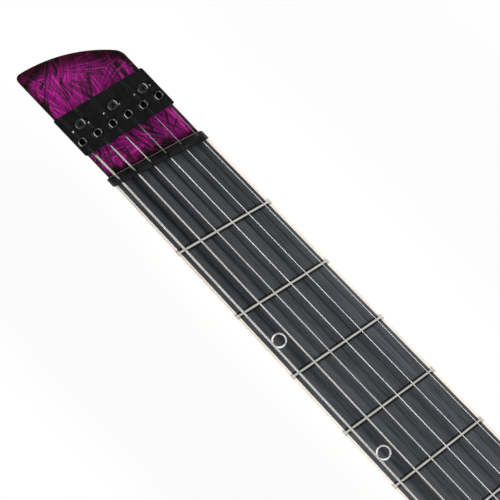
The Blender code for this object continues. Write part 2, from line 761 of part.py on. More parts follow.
def body_blank():
    """The outline, extruded, with its rims rounded and a flat bevel for the forearm."""
    mesh = prism("body", smooth_loop(BODY_OUTLINE, 4), 0.0, BODY_TOP)
    for height in (0.0, BODY_TOP):
        mesh = soften_rim(mesh, height, EDGE_RADIUS, EDGE_STEPS)
    bm = bmesh.new()
    bm.from_mesh(mesh)
    geometry = bm.verts[:] + bm.edges[:] + bm.faces[:]
    slope = Vector(FOREARM_NORMAL).normalized()
    cut = bmesh.ops.bisect_plane(
        bm, geom=geometry, plane_co=FOREARM_POINT, plane_no=slope, clear_outer=True
    )
    edges = [g for g in cut["geom_cut"] if isinstance(g, bmesh.types.BMEdge)]
    bmesh.ops.contextual_create(bm, geom=edges)
    return to_mesh("body", bm)


def neck_pocket():
    """Cutters for the heel of the neck and the wheel of its truss rod."""
    open_end = -0.30
    open_top = 0.08
    heel_half = half_width(HEEL_END) + GAP
    end_half = half_width(open_end) + GAP
    heel = HEEL_END + GAP
    plan = [
        (open_end, NECK_OFFSET - end_half), (heel, NECK_OFFSET - heel_half),
        (heel, NECK_OFFSET + heel_half), (open_end, NECK_OFFSET + end_half),
    ]
    wheel = box("wheel pocket", (HEEL_END - 0.002, -0.006, 0.0330), (HEEL_END + 0.009, 0.006, open_top))
    return [prism("neck pocket", plan, POCKET_FLOOR, open_top), wheel]


def control_outline(grow, radius):
    size = [side + 2 * grow for side in CONTROL_SIZE]
    return rounded_box(CONTROL_CENTRE, size, CONTROL_ANGLE, radius)


def control_cavity():
    """Cutters for the cavity from the back, its cover's ledge, the shafts and the jack."""
    below = -0.01
    cutters = [
        prism("control cavity", control_outline(0, 0.012), below, CONTROL_ROOF),
        prism("cover recess", control_outline(CONTROL_RIM, 0.016), below, COVER_THICKNESS + 2 * GAP),
    ]
    for along, radius in ((SWITCH_ALONG, SWITCH_HOLE), (VOLUME_ALONG, POT_HOLE), (TONE_ALONG, POT_HOLE)):
        cutters.append(rod("hole", (*control_spot(along), 0), (0, 0, 1), radius, 0.03, 0.05))
    jack = (JACK_X, 0, JACK_Z)
    outside = 0.17
    seat = JACK_FACE_Y - JACK_PLATE_THICKNESS
    cutters.append(rod("jack bore", jack, (0, 1, 0), JACK_BARREL + 0.001, 0.100, outside, 16))
    cutters.append(rod("jack seat", jack, (0, 1, 0), JACK_PLATE_RADIUS + GAP, seat, outside, 24))
    return cutters


def body_pockets():
    """Cutters for everything that is let into the body."""
    below = -0.01
    cutters = neck_pocket() + control_cavity()
    for name in PICKUP_PLACES:
        cutters.append(prism("pickup", pickup_outline(name, GAP, 0.004), PICKUP_CAVITY_FLOOR, 0.08))
    for x, y in BOLT_PLACES:
        cutters.append(rod("bolt", (x, y, 0), (0, 0, 1), NECK_BOLT_HOLE, below, 0.03))
    cutters.append(prism("plate recess", heel_plate_outline(GAP), below, COVER_THICKNESS + 2 * GAP))
    for spot, axis in STRAP_BUTTONS.values():
        cutters.append(rod("spot face", spot, axis, 0.0072, 0.0, 0.03))
    return cutters + [belly_scoop(), tail_scoop()]


def ball_cap(name, angle, steps, sides):
    """The cap of a ball of radius 1, out to this angle from its top."""
    profile = [(0, 1)]
    for i in range(1, steps + 1):
        profile.append((math.sin(angle * i / steps), math.cos(angle * i / steps)))
    profile.append((0, profile[-1][1]))
    return turned(name, profile, sides=sides)


def belly_scoop():
    """The cap of a large ball, which hollows the back for the player's ribs."""
    cap = ball_cap("belly scoop", BELLY_ANGLE, 6, 36)
    cap.transform(Matrix.Translation(BELLY_CENTRE) @ Matrix.Scale(BELLY_RADIUS, 4))
    return cap


def tail_scoop():
    """The lower half of a long ball, which makes room for fingers under the tuning knobs."""
    cap = ball_cap("tail scoop", math.pi / 2, 7, 28)
    flip = Matrix.Rotation(math.pi, 4, "X")
    size = Matrix.Diagonal((*TAIL_SCOOP_SIZE, 1))
    turn = Matrix.Rotation(fan_angle(1), 4, "Z")
    cap.transform(Matrix.Translation(TAIL_SCOOP) @ turn @ size @ flip)
    return cap


def heel_plate_outline(grow):
    size = [side + 2 * grow for side in HEEL_PLATE_SIZE]
    return rounded_box(HEEL_PLATE_CENTRE, size, 0, 0.006)


def make_body():
    place("body", carve(body_blank(), body_pockets()), PURPLE)


def make_heel_plate():
    """Plate on the back with the four bolts that pull the neck into its pocket."""
    mesh = prism("heel_plate", heel_plate_outline(0), GAP, GAP + COVER_THICKNESS)
    bolts = []
    for x, y in BOLT_PLACES:
        bolts.append(rod("bolt", (x, y, 0), (0, 0, 1), NECK_BOLT_RADIUS, 0.0010, 0.0380))
    place("heel_plate", carve(mesh, bolts, "UNION"), BLACK_METAL)


def make_control_cover():
    outline = control_outline(CONTROL_RIM - GAP, 0.016)
    mesh = prism("control_cover", outline, GAP, GAP + COVER_THICKNESS)
    place("control_cover", mesh, BLACK_PLASTIC)


def make_pickups():
    """Each pickup is a cover shell over a core of two coils on a plate."""
    wall = PICKUP_WALL
    ceiling = PICKUP_TOP - wall
    for name in PICKUP_PLACES:
        outer = prism("cover", pickup_outline(name, 0, PICKUP_CORNER), PICKUP_BOTTOM, PICKUP_TOP)
        outer = soften_rim(outer, PICKUP_TOP, PICKUP_RIM_RADIUS)
        inner_outline = pickup_outline(name, -wall, PICKUP_CORNER - wall)
        inner = prism("inner", inner_outline, PICKUP_BOTTOM - 0.001, ceiling)
        place(f"pickup_cover_{name}", carve(outer, [inner]), BLACK_PLASTIC)
        place(f"pickup_core_{name}", pickup_core_mesh(name, ceiling - GAP), BLACK_PLASTIC)


def pickup_core_mesh(name, top):
    """A base plate with its two long coils."""
    t = PICKUP_PLACES[name]
    turn = Matrix.Rotation(fan_angle(t), 2)
    outline = pickup_outline(name, -PICKUP_WALL - GAP, PICKUP_CORNER - PICKUP_WALL - GAP)
    plate = prism("plate", outline, PICKUP_CAVITY_FLOOR + GAP, PLATE_TOP)
    coils = []
    for side in (-0.5, 0.5):
        spot = Vector((fan_x(t, 0), 0)) + turn @ Vector((side * COIL_APART, 0))
        outline = rounded_box(spot, COIL_SIZE, fan_angle(t), 0.0070)
        coils.append(prism("coil", outline, PLATE_TOP - 0.001, top))
    return carve(plate, coils, "UNION")


def make_pots():
    """Two pots, each a can with a threaded neck and a shaft, and the knobs on their shafts."""
    can = (
        (0, 0.0220), (0.0083, 0.0220), (0.0085, 0.0225), (0.0085, 0.0310), (0.0036, 0.0310),
        (0.0036, 0.0460), (0.0030, 0.0460), (0.0030, 0.0520), (0, 0.0520),
    )
    cap = (
        (0, 0.0545), (0.0072, 0.0545), (0.0080, 0.0538), (0.0090, 0.0430), (0.0090, 0.0424),
        (0.0040, 0.0424), (0.0040, 0.0464), (0.0033, 0.0464), (0.0033, 0.0524), (0, 0.0524),
    )
    for name, along in (("volume", VOLUME_ALONG), ("tone", TONE_ALONG)):
        spot = (*control_spot(along), 0)
        place(f"{name}_pot", turned(f"{name}_pot", can, sides=16), STEEL, spot)
        place(f"{name}_knob", turned(f"{name}_knob", cap, sides=20), BLACK_METAL, spot)


def make_switch():
    """Toggle in its threaded bush, with a lever that rocks on a ball below the face."""
    roof = CONTROL_ROOF - GAP
    pivot = SWITCH_PIVOT_Z
    switch = (
        (0, 0.0180), (0.0080, 0.0180), (0.0080, roof), (0.0055, roof), (0.0055, 0.0455),
        (0.0034, 0.0455), (0.0026, pivot), (0.0034, pivot - 0.0045), (0, pivot - 0.0045),
    )
    lever = (
        (0, pivot - 0.0030), (0.0012, pivot - 0.0030), (0.0016, pivot), (0.0012, pivot + 0.004),
        (0.0012, 0.0520), (0.0022, 0.0560), (0.0028, 0.0600), (0.0022, 0.0625), (0, 0.0632),
    )
    x, y = control_spot(SWITCH_ALONG)
    place("pickup_switch", turned("pickup_switch", switch, sides=16), BLACK_METAL, (x, y, 0))
    lever = turned("switch_lever", [(radius, z - pivot) for radius, z in lever], sides=12)
    place("switch_lever", lever, BLACK_METAL, (x, y, pivot))


def make_jack():
    """Round plate on the rim with the socket that takes a 6.35 mm plug."""
    end = JACK_FACE_Y - JACK_PLATE_THICKNESS
    face = JACK_FACE_Y + GAP
    spot = (JACK_X, 0, JACK_Z)
    plate = rod("jack_plate", spot, (0, 1, 0), JACK_PLATE_RADIUS, end + GAP, JACK_FACE_Y, 24)
    hole = rod("hole", spot, (0, 1, 0), 0.0052, 0.1, 0.2, 20)
    place("jack_plate", carve(plate, [hole]), BLACK_METAL)
    neck, nut, bore = 0.0048, 0.0068, 0.0033
    profile = (
        (0, end - 0.030), (JACK_BARREL, end - 0.030), (JACK_BARREL, end), (neck, end), (neck, face),
        (nut, face), (nut, face + 0.0019), (0.0040, face + 0.0023),
        (bore, face + 0.0023), (bore, end - 0.027), (0, end - 0.027),
    )
    place("output_jack", turned("output_jack", profile, spot, (0, 1, 0), 16), STEEL)


def make_strap_buttons():
    profile = (
        (0, GAP), (0.0062, GAP), (0.0064, 0.0012), (0.0040, 0.0030), (0.0034, 0.0070),
        (0.0048, 0.0088), (0.0075, 0.0100), (0.0075, 0.0108), (0, 0.0108),
    )
    for name, (spot, axis) in STRAP_BUTTONS.items():
        mesh = turned(f"strap_button_{name}", profile, axis=axis, sides=16)
        place(f"strap_button_{name}", mesh, BLACK_METAL, spot)


def main():
    clear_scene()
    make_neck()
    make_truss_rod()
    make_headpiece_veneer()
    make_fretboard()
    make_binding()
    make_nut()
    make_string_lock()
    make_lock_screws()
    for number in range(1, STRING_COUNT + 1):
        make_string(number)
    make_body()
    make_heel_plate()
    make_control_cover()
    make_pickups()
    make_bridge()
    make_pots()
    make_switch()
    make_jack()
    make_strap_buttons()


main()
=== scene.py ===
# %% [markdown]
# # A headless electric guitar, dressed for its picture
# The imported model gives every piece its true size and place. This script gives each of them its
# finish, and models again, more finely, whatever a plain solid can't show: rounded frets, wound
# strings, screw heads, knurled knobs. First the frame is loaded.

# %% Load the frame
import json
import math

import bmesh
import bpy
from mathutils import Matrix, Vector
from mathutils.kdtree import KDTree

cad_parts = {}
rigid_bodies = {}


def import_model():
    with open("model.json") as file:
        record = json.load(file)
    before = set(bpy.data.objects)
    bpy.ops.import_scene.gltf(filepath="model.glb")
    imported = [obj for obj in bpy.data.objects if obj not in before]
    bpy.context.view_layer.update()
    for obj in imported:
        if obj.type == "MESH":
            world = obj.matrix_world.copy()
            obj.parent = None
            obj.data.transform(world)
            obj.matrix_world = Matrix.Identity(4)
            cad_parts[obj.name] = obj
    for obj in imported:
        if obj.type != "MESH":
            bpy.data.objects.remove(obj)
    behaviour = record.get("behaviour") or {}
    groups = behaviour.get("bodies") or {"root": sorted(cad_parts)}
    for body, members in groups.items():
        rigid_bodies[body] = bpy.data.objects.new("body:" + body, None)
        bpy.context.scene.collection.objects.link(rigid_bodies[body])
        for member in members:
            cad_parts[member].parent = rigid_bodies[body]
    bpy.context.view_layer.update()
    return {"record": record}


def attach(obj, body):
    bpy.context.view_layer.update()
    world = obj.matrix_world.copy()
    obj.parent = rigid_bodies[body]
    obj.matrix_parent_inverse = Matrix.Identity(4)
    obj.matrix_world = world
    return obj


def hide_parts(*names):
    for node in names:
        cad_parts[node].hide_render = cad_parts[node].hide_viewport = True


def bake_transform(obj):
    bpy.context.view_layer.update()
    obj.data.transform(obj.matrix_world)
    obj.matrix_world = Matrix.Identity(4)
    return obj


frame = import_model()

# %% [markdown]
# ## The string plan
# Each string of a fanned guitar has its own scale length, so the frets, pickups and saddles lie
# on lines that fan out. Everything on this instrument is placed from that plan: a string has a
# share, from -0.5 on the bass side to +0.5 on the treble side, and a cross line has a share t of
# the way from the nut to the saddles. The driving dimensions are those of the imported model.

# %% String plan
TREBLE_SCALE, BASS_SCALE = 0.6477, 0.6731
NUT_FAN = 0.0103
NUT_SPREAD, SADDLE_SPREAD = 0.0357, 0.0525
MEAN_SCALE = (TREBLE_SCALE + BASS_SCALE) / 2
NUT_X = -MEAN_SCALE
STRING_COUNT = 6
STRING_DIAMETERS = (0.00026, 0.00033, 0.00043, 0.00066, 0.00091, 0.00117)
BOARD_TOP = 0.0495
BOARD_RADIUS = 0.406
BODY_TOP = 0.0420
NUMBERS = range(1, STRING_COUNT + 1)


def share_of(number):
    """Where string 1 (treble) to 6 (bass) lies in the spread."""
    return 0.5 - (number - 1) / (STRING_COUNT - 1)


def spread(t):
    return NUT_SPREAD + t * (SADDLE_SPREAD - NUT_SPREAD)


def fan_x(t, y):
    """Where the cross line at share t is, at this y."""
    share = y / spread(t)
    nut = NUT_X + share * NUT_FAN
    saddle = share * (NUT_FAN - BASS_SCALE + TREBLE_SCALE)
    return nut + t * (saddle - nut)


def fan_angle(t):
    return math.atan2(fan_x(t, -0.01) - fan_x(t, 0.01), 0.02)


def crowned(height, y):
    """A height on the middle line, carried out over the round top of the fretboard."""
    return height - y * y / (2 * BOARD_RADIUS)


def smooth_step(x, start, end):
    t = min(max((x - start) / (end - start), 0), 1)
    return t * t * (3 - 2 * t)


print("scales:", TREBLE_SCALE, "to", BASS_SCALE, "m")

# %% [markdown]
# ## The camera
# The picture looks straight down on the head end of the neck, which runs to the lower right. A
# long lens from far above keeps the strings almost parallel, as they are there. The size of the
# view comes from the string plan: 500 pixels cover about 207 mm at the strings.

# %% Camera
PICTURE = 500
PIXELS_PER_METRE = 2417.7
TURN = math.radians(46.44)
VIEW_CENTRE = Vector((NUT_X + 0.05124, 0.00103, 0.0500))
DISTANCE = 2.6

camera_data = bpy.data.cameras.new("camera")
camera_data.sensor_width = 36.0
camera_data.lens = camera_data.sensor_width * DISTANCE * PIXELS_PER_METRE / PICTURE
camera = bpy.data.objects.new("camera", camera_data)
camera.location = VIEW_CENTRE + Vector((0, 0, DISTANCE))
camera.rotation_euler = (0, 0, TURN)
bpy.context.collection.objects.link(camera)
bpy.context.scene.camera = camera
print("lens:", round(camera_data.lens), "mm")

# %% [markdown]
# ## Small words for shader graphs
# A procedural finish is a graph of nodes. Written out node by node it is hard to follow, so
# these short functions add one node each and accept either a number or another node's output.


# %% Shader helpers
def add_node(tree, kind, **settings):
    node = tree.nodes.new(kind)
    for name, value in settings.items():
        setattr(node, name, value)
    return node


def feed(tree, socket, value):
    """Link another node's output to the socket, or set the socket to a constant."""
    if isinstance(value, bpy.types.NodeSocket):
        tree.links.new(value, socket)
    else:
        socket.default_value = value


def maths(tree, operation, *values):
    node = add_node(tree, "ShaderNodeMath", operation=operation)
    for socket, value in zip(node.inputs, values):
        feed(tree, socket, value)
    return node.outputs[0]


def vectors(tree, operation, *values):
    node = add_node(tree, "ShaderNodeVectorMath", operation=operation)
    for socket, value in zip(node.inputs, values):
        feed(tree, socket, value)
    return node.outputs["Value" if operation == "LENGTH" else "Vector"]


def remap(tree, value, from_low, from_high, to_low=0.0, to_high=1.0):
    node = add_node(tree, "ShaderNodeMapRange", interpolation_type="SMOOTHSTEP")
    for socket, number in zip(node.inputs, (value, from_low, from_high, to_low, to_high)):
        feed(tree, socket, number)
    return node.outputs["Result"]


def noise(tree, vector, scale, detail=3.0, rough=0.55):
    node = add_node(tree, "ShaderNodeTexNoise")
    feed(tree, node.inputs["Vector"], vector)
    node.inputs["Scale"].default_value = scale
    node.inputs["Detail"].default_value = detail
    node.inputs["Roughness"].default_value = rough
    return node.outputs["Fac"]


def blend_colours(tree, amount, first, second):
    """A mix of two colours, which are tuples of three numbers or outputs of nodes."""
    node = add_node(tree, "ShaderNodeMix", data_type="RGBA")
    feed(tree, node.inputs["Factor"], amount)
    for socket, colour in ((node.inputs[6], first), (node.inputs[7], second)):
        feed(tree, socket, (*colour, 1) if isinstance(colour, tuple) else colour)
    return node.outputs[2]


def object_space(tree, scale=(1, 1, 1)):
    coordinates = add_node(tree, "ShaderNodeTexCoord")
    mapping = add_node(tree, "ShaderNodeMapping")
    mapping.inputs["Scale"].default_value = scale
    tree.links.new(coordinates.outputs["Object"], mapping.inputs["Vector"])
    return mapping.outputs["Vector"]


def new_material(name):
    made = bpy.data.materials.new(name)
    made.use_nodes = True
    made.node_tree.nodes.clear()
    return made


def principled(name, roughness, metallic=0.0, specular=0.5, coat=0.0):
    """A material with an empty Principled shader, and that shader."""
    made = new_material(name)
    out = add_node(made.node_tree, "ShaderNodeOutputMaterial")
    shader = add_node(made.node_tree, "ShaderNodeBsdfPrincipled")
    shader.inputs["Roughness"].default_value = roughness
    shader.inputs["Metallic"].default_value = metallic
    shader.inputs["Specular IOR Level"].default_value = specular
    shader.inputs["Coat Weight"].default_value = coat
    made.node_tree.links.new(shader.outputs[0], out.inputs["Surface"])
    return made, shader


def dent(tree, shader, height, depth):
    """Bump of this depth in metres, from a height between 0 and 1."""
    node = add_node(tree, "ShaderNodeBump")
    node.inputs["Strength"].default_value = 1.0
    node.inputs["Distance"].default_value = depth
    tree.links.new(height, node.inputs["Height"])
    tree.links.new(node.outputs["Normal"], shader.inputs["Normal"])


print("shader helpers are ready")

# %% [markdown]
# ## Floor and light
# The shadows of the strings in the picture lie midway between them, one from each side. So
# there are two long lamps beside the neck, 57 and 68 degrees from straight above, and only a
# little light from elsewhere. The floor and the sky are white to the camera and in reflections.
# Near the guitar the floor keeps a share of its own shading, and with it the shadow.


# %% Floor, sky and lamps
def seen_directly(tree):
    """A value of 1 for camera, mirror and glass rays."""
    path = add_node(tree, "ShaderNodeLightPath").outputs
    first = maths(tree, "MAXIMUM", path["Is Camera Ray"], path["Is Glossy Ray"])
    return maths(tree, "MAXIMUM", first, path["Is Transmission Ray"])


floor_material = new_material("floor")
tree = floor_material.node_tree
out = add_node(tree, "ShaderNodeOutputMaterial")
mix = add_node(tree, "ShaderNodeMixShader")
shade = add_node(tree, "ShaderNodeBsdfDiffuse")
shade.inputs["Color"].default_value = (0.86, 0.86, 0.86, 1)
glow = add_node(tree, "ShaderNodeEmission")
glow.inputs["Strength"].default_value = 1.0
away = vectors(tree, "LENGTH", object_space(tree))
own_shading = remap(tree, away, 0.9, 2.4, 0.09, 0.0)
weight = maths(tree, "MULTIPLY", seen_directly(tree), maths(tree, "SUBTRACT", 1.0, own_shading))
tree.links.new(weight, mix.inputs["Fac"])
tree.links.new(shade.outputs[0], mix.inputs[1])
tree.links.new(glow.outputs[0], mix.inputs[2])
tree.links.new(mix.outputs[0], out.inputs["Surface"])

bm = bmesh.new()
bmesh.ops.create_grid(bm, x_segments=1, y_segments=1, size=8.0, matrix=Matrix.Translation((0, 0, -0.0003)))
floor_mesh = bpy.data.meshes.new("floor")
bm.to_mesh(floor_mesh)
bm.free()
floor_mesh.materials.append(floor_material)
floor = bpy.data.objects.new("floor", floor_mesh)
bpy.context.collection.objects.link(floor)

world = bpy.data.worlds.new("sky")
bpy.context.scene.world = world
world.use_nodes = True
tree = world.node_tree
tree.nodes.clear()
out = add_node(tree, "ShaderNodeOutputWorld")
mix = add_node(tree, "ShaderNodeMixShader")
fill = add_node(tree, "ShaderNodeBackground")
fill.inputs["Strength"].default_value = 0.10
white = add_node(tree, "ShaderNodeBackground")
white.inputs["Strength"].default_value = 1.0
for sky_node in (fill, white):
    sky_node.inputs["Color"].default_value = (1, 1, 1, 1)
tree.links.new(seen_directly(tree), mix.inputs["Fac"])
tree.links.new(fill.outputs[0], mix.inputs[1])
tree.links.new(white.outputs[0], mix.inputs[2])
tree.links.new(mix.outputs[0], out.inputs["Surface"])

LAMP_REACH = 1.15
LAMP_SIZE = (1.9, 0.15)
LAMP_WATTS = 20.5
for name, side, degrees in (("treble lamp", 1, 57), ("bass lamp", -1, 68)):
    lean = math.radians(degrees)
    data = bpy.data.lights.new(name, "AREA")
    data.shape = "RECTANGLE"
    data.size, data.size_y = LAMP_SIZE
    data.energy = LAMP_WATTS
    lamp = bpy.data.objects.new(name, data)
    aim = Vector((-0.70, 0, 0.05))
    away = Vector((0, side * math.sin(lean), math.cos(lean)))
    lamp.location = aim + LAMP_REACH * away
    lamp.rotation_euler = (side * -lean, 0, 0)
    bpy.context.collection.objects.link(lamp)
bpy.context.scene.view_settings.view_transform = "Standard"
print("lamps:", LAMP_WATTS, "W each")

# %% [markdown]
# ## Plain finishes
# Plastic, bare metal and oiled wood are each one short recipe: two close colours mixed by a
# broad noise, roughness that varies with it, and fine grain in the bump. Grain reads Object
# coordinates, which are metres here, so a grain of half a millimetre has a scale of about 2000.


# %% Plain finishes
def speckled(name, dark, light, roughness, metallic, grain, depth, specular=0.5, polish_and_painted_light_attribute=None):
    """Two close colours in patches. With an attribute name as the last argument, that attribute scales the colour:
    painted light and shade, and on frets also polish.
    """
    made, shader = principled(name, roughness, metallic, specular)
    tree = made.node_tree
    space = object_space(tree)
    broad = noise(tree, space, grain / 30, 4.0)
    colour = blend_colours(tree, remap(tree, broad, 0.3, 0.7), dark, light)
    if polish_and_painted_light_attribute:
        polish_and_painted_light = add_node(tree, "ShaderNodeAttribute", attribute_name=polish_and_painted_light_attribute).outputs["Fac"]
        colour = vectors(tree, "SCALE", colour, (0, 0, 0), (0, 0, 0), remap(tree, polish_and_painted_light, 0, 1, 0.09, 1))
    tree.links.new(colour, shader.inputs["Base Color"])
    uneven = remap(tree, broad, 0.3, 0.7, roughness * 0.8, roughness * 1.25)
    tree.links.new(uneven, shader.inputs["Roughness"])
    dent(tree, shader, noise(tree, space, grain), depth)
    return made


def wood(name, dark, light, roughness, grain, depth, specular=0.5, drawn_out=0.05, painted_shade_ramp=None):
    """Wood with its grain along X, which may be drawn darker towards one end as painted shade, ramping between two
    places along it.
    """
    made, shader = principled(name, roughness, specular=specular)
    tree = made.node_tree
    space = object_space(tree, (drawn_out, 1, 1))
    fine = noise(tree, space, grain, 5.0, 0.6)
    broad = noise(tree, space, grain / 12, 2.0)
    figure = maths(tree, "ADD", maths(tree, "MULTIPLY", fine, 0.6), maths(tree, "MULTIPLY", broad, 0.4))
    colour = blend_colours(tree, remap(tree, figure, 0.35, 0.65), dark, light)
    if painted_shade_ramp:
        apart = add_node(tree, "ShaderNodeSeparateXYZ")
        tree.links.new(object_space(tree), apart.inputs[0])
        place = maths(tree, "MULTIPLY_ADD", apart.outputs[1], 0.8, apart.outputs[0])
        tone = remap(tree, place, painted_shade_ramp[0], painted_shade_ramp[1], painted_shade_ramp[2], 1.0)
        colour = vectors(tree, "SCALE", colour, (0, 0, 0), (0, 0, 0), tone)
    tree.links.new(colour, shader.inputs["Base Color"])
    uneven = remap(tree, fine, 0.3, 0.7, roughness * 1.2, roughness * 0.85)
    tree.links.new(uneven, shader.inputs["Roughness"])
    dent(tree, shader, fine, depth)
    return made


BLACKS = {
    "black_composite": (0.005, 0.010, 0.46, 0.0, 4000, 0.00001, 0.08),
    "black_metal": (0.0034, 0.0056, 0.34, 0.0, 6000, 0.000008, 0.06),
    "screw_metal": (0.002, 0.005, 0.13, 0.0, 5000, 0.000001, 0.30),
    "knob_metal": (0.008, 0.014, 0.30, 0.0, 6000, 0.00001, 0.30),
    "black_plastic": (0.010, 0.018, 0.50, 0.0, 3500, 0.00002, 0.30),
    "pickup_plastic": (0.008, 0.013, 0.40, 0.0, 3500, 0.00001, 0.30),
    "coil_core": (0.018, 0.036, 0.60, 0.0, 2000, 0.00002, 0.40),
}
FINISHES = {}
for name, (dark, light, roughness, metallic, grain, depth, specular) in BLACKS.items():
    dark, light = (dark,) * 3, (light,) * 3
    FINISHES[name] = speckled(name, dark, light, roughness, metallic, grain, depth, specular)

CREAM = (0.78, 0.70, 0.61), (0.86, 0.79, 0.72)
STEEL = (0.56, 0.55, 0.52), (0.70, 0.69, 0.66)
FINISHES["pale_binding"] = speckled("pale_binding", *CREAM, 0.4, 0, 3000, 0.00001)
PLAIN_STEEL = (0.60, 0.59, 0.57), (0.72, 0.71, 0.69)
WOUND_STEEL = (0.36, 0.35, 0.33), (0.44, 0.43, 0.41)
# Strings and frets read a stored attribute that lightens or darkens them: painted light and shade, and on frets also
# polish.
FINISHES["string_steel"] = speckled("string_steel", *PLAIN_STEEL, 0.34, 0.25, 3000, 0.000001, polish_and_painted_light_attribute="polish_and_painted_light")
FINISHES["wound_steel"] = speckled("wound_steel", *WOUND_STEEL, 0.38, 0.25, 3000, 0.000001, polish_and_painted_light_attribute="polish_and_painted_light")
FINISHES["bare_steel"] = speckled("bare_steel", *STEEL, 0.30, 1.0, 3000, 0.000003)
MAPLE = (0.50, 0.31, 0.16), (0.66, 0.45, 0.26)
EBONY = (0.036, 0.039, 0.044), (0.080, 0.086, 0.095)
RING = (0.78, 0.77, 0.74), (0.90, 0.89, 0.87)
FINISHES["ring_inlay"] = speckled("ring_inlay", *RING, 0.35, 0, 2500, 0.000004)
FRET_STEEL = (0.51, 0.50, 0.46), (0.64, 0.62, 0.58)
FINISHES["fret_steel"] = speckled("fret_steel", *FRET_STEEL, 0.12, 1.0, 4000, 0.0000004, polish_and_painted_light_attribute="polish_and_painted_light")
FINISHES["shim"] = speckled("shim", (0.16, 0.13, 0.10), (0.24, 0.20, 0.16), 0.5, 0, 3000, 0.000002)
FINISHES["brass"] = speckled("brass", (0.52, 0.36, 0.14), (0.66, 0.48, 0.22), 0.32, 1.0, 3000, 0.000002)
FINISHES["neck_wood"] = wood("neck_wood", *MAPLE, 0.42, 900, 0.00002)
# The board is drawn darker towards the head: painted shade.
FINISHES["fretboard_wood"] = wood(
    "fretboard_wood", *EBONY, 0.58, 1800, 0.00002, 0.05, painted_shade_ramp=(-0.67, -0.53, 0.62)
)
print("plain finishes:", len(FINISHES))

# %% [markdown]
# ## The streaked finish
# The face of the head and the body is covered in bundles of fine strokes, magenta over black,
# that fan out in a new direction every centimetre or so, and it darkens towards every edge. A
# noise drawn out along one direction gives strokes. To make it fan, the surface is divided into
# Voronoi cells, each cell picks a point outside itself, and the noise is read in polar
# coordinates round that point. A broad layer and a fine one lie over each other. The distance
# to the edge is stored on the mesh, in an attribute named rim.


# %% Streaked finish
def stroke_fans(tree, space, cell, spacing, length, shift):
    """Noise drawn out into strokes that fan out from a point of their own for every cell."""
    moved = vectors(tree, "ADD", space, (shift, 1.7 * shift, 0))
    warp = add_node(tree, "ShaderNodeTexNoise", noise_dimensions="2D")
    feed(tree, warp.inputs["Vector"], moved)
    warp.inputs["Scale"].default_value = 1.2 / cell
    warp.inputs["Detail"].default_value = 5.0
    sway = vectors(tree, "SUBTRACT", warp.outputs["Color"], (0.5, 0.5, 0.5))
    sway = vectors(tree, "MULTIPLY", sway, (0.9 * cell, 0.9 * cell, 0))
    warped = vectors(tree, "ADD", moved, sway)
    cells = add_node(tree, "ShaderNodeTexVoronoi", voronoi_dimensions="2D", feature="F1")
    feed(tree, cells.inputs["Vector"], warped)
    cells.inputs["Scale"].default_value = 1.0 / cell
    pick = add_node(tree, "ShaderNodeSeparateColor")
    tree.links.new(cells.outputs["Color"], pick.inputs[0])
    angle = maths(tree, "MULTIPLY", pick.outputs[0], 2 * math.pi)
    reach = maths(tree, "MULTIPLY_ADD", pick.outputs[1], 0.9 * cell, 0.6 * cell)
    point = add_node(tree, "ShaderNodeCombineXYZ")
    tree.links.new(maths(tree, "MULTIPLY", maths(tree, "COSINE", angle), reach), point.inputs[0])
    tree.links.new(maths(tree, "MULTIPLY", maths(tree, "SINE", angle), reach), point.inputs[1])
    root = vectors(tree, "ADD", cells.outputs["Position"], point.outputs[0])
    arm = vectors(tree, "SUBTRACT", moved, root)
    parts = add_node(tree, "ShaderNodeSeparateXYZ")
    tree.links.new(arm, parts.inputs[0])
    bearing = maths(tree, "ARCTAN2", parts.outputs[1], parts.outputs[0])
    polar = add_node(tree, "ShaderNodeCombineXYZ")
    tree.links.new(maths(tree, "MULTIPLY", bearing, cell / spacing), polar.inputs[0])
    along = maths(tree, "DIVIDE", vectors(tree, "LENGTH", arm), length)
    tree.links.new(along, polar.inputs[1])
    tree.links.new(maths(tree, "MULTIPLY", pick.outputs[2], 40.0), polar.inputs[2])
    return noise(tree, polar.outputs[0], 1.0, 2.0, 0.55)


def dark_lines(tree, value, half):
    """0 on thin lines, where the noise crosses its middle, and 1 away from them."""
    off = maths(tree, "ABSOLUTE", maths(tree, "SUBTRACT", value, 0.5))
    return remap(tree, off, 0.25 * half, half)


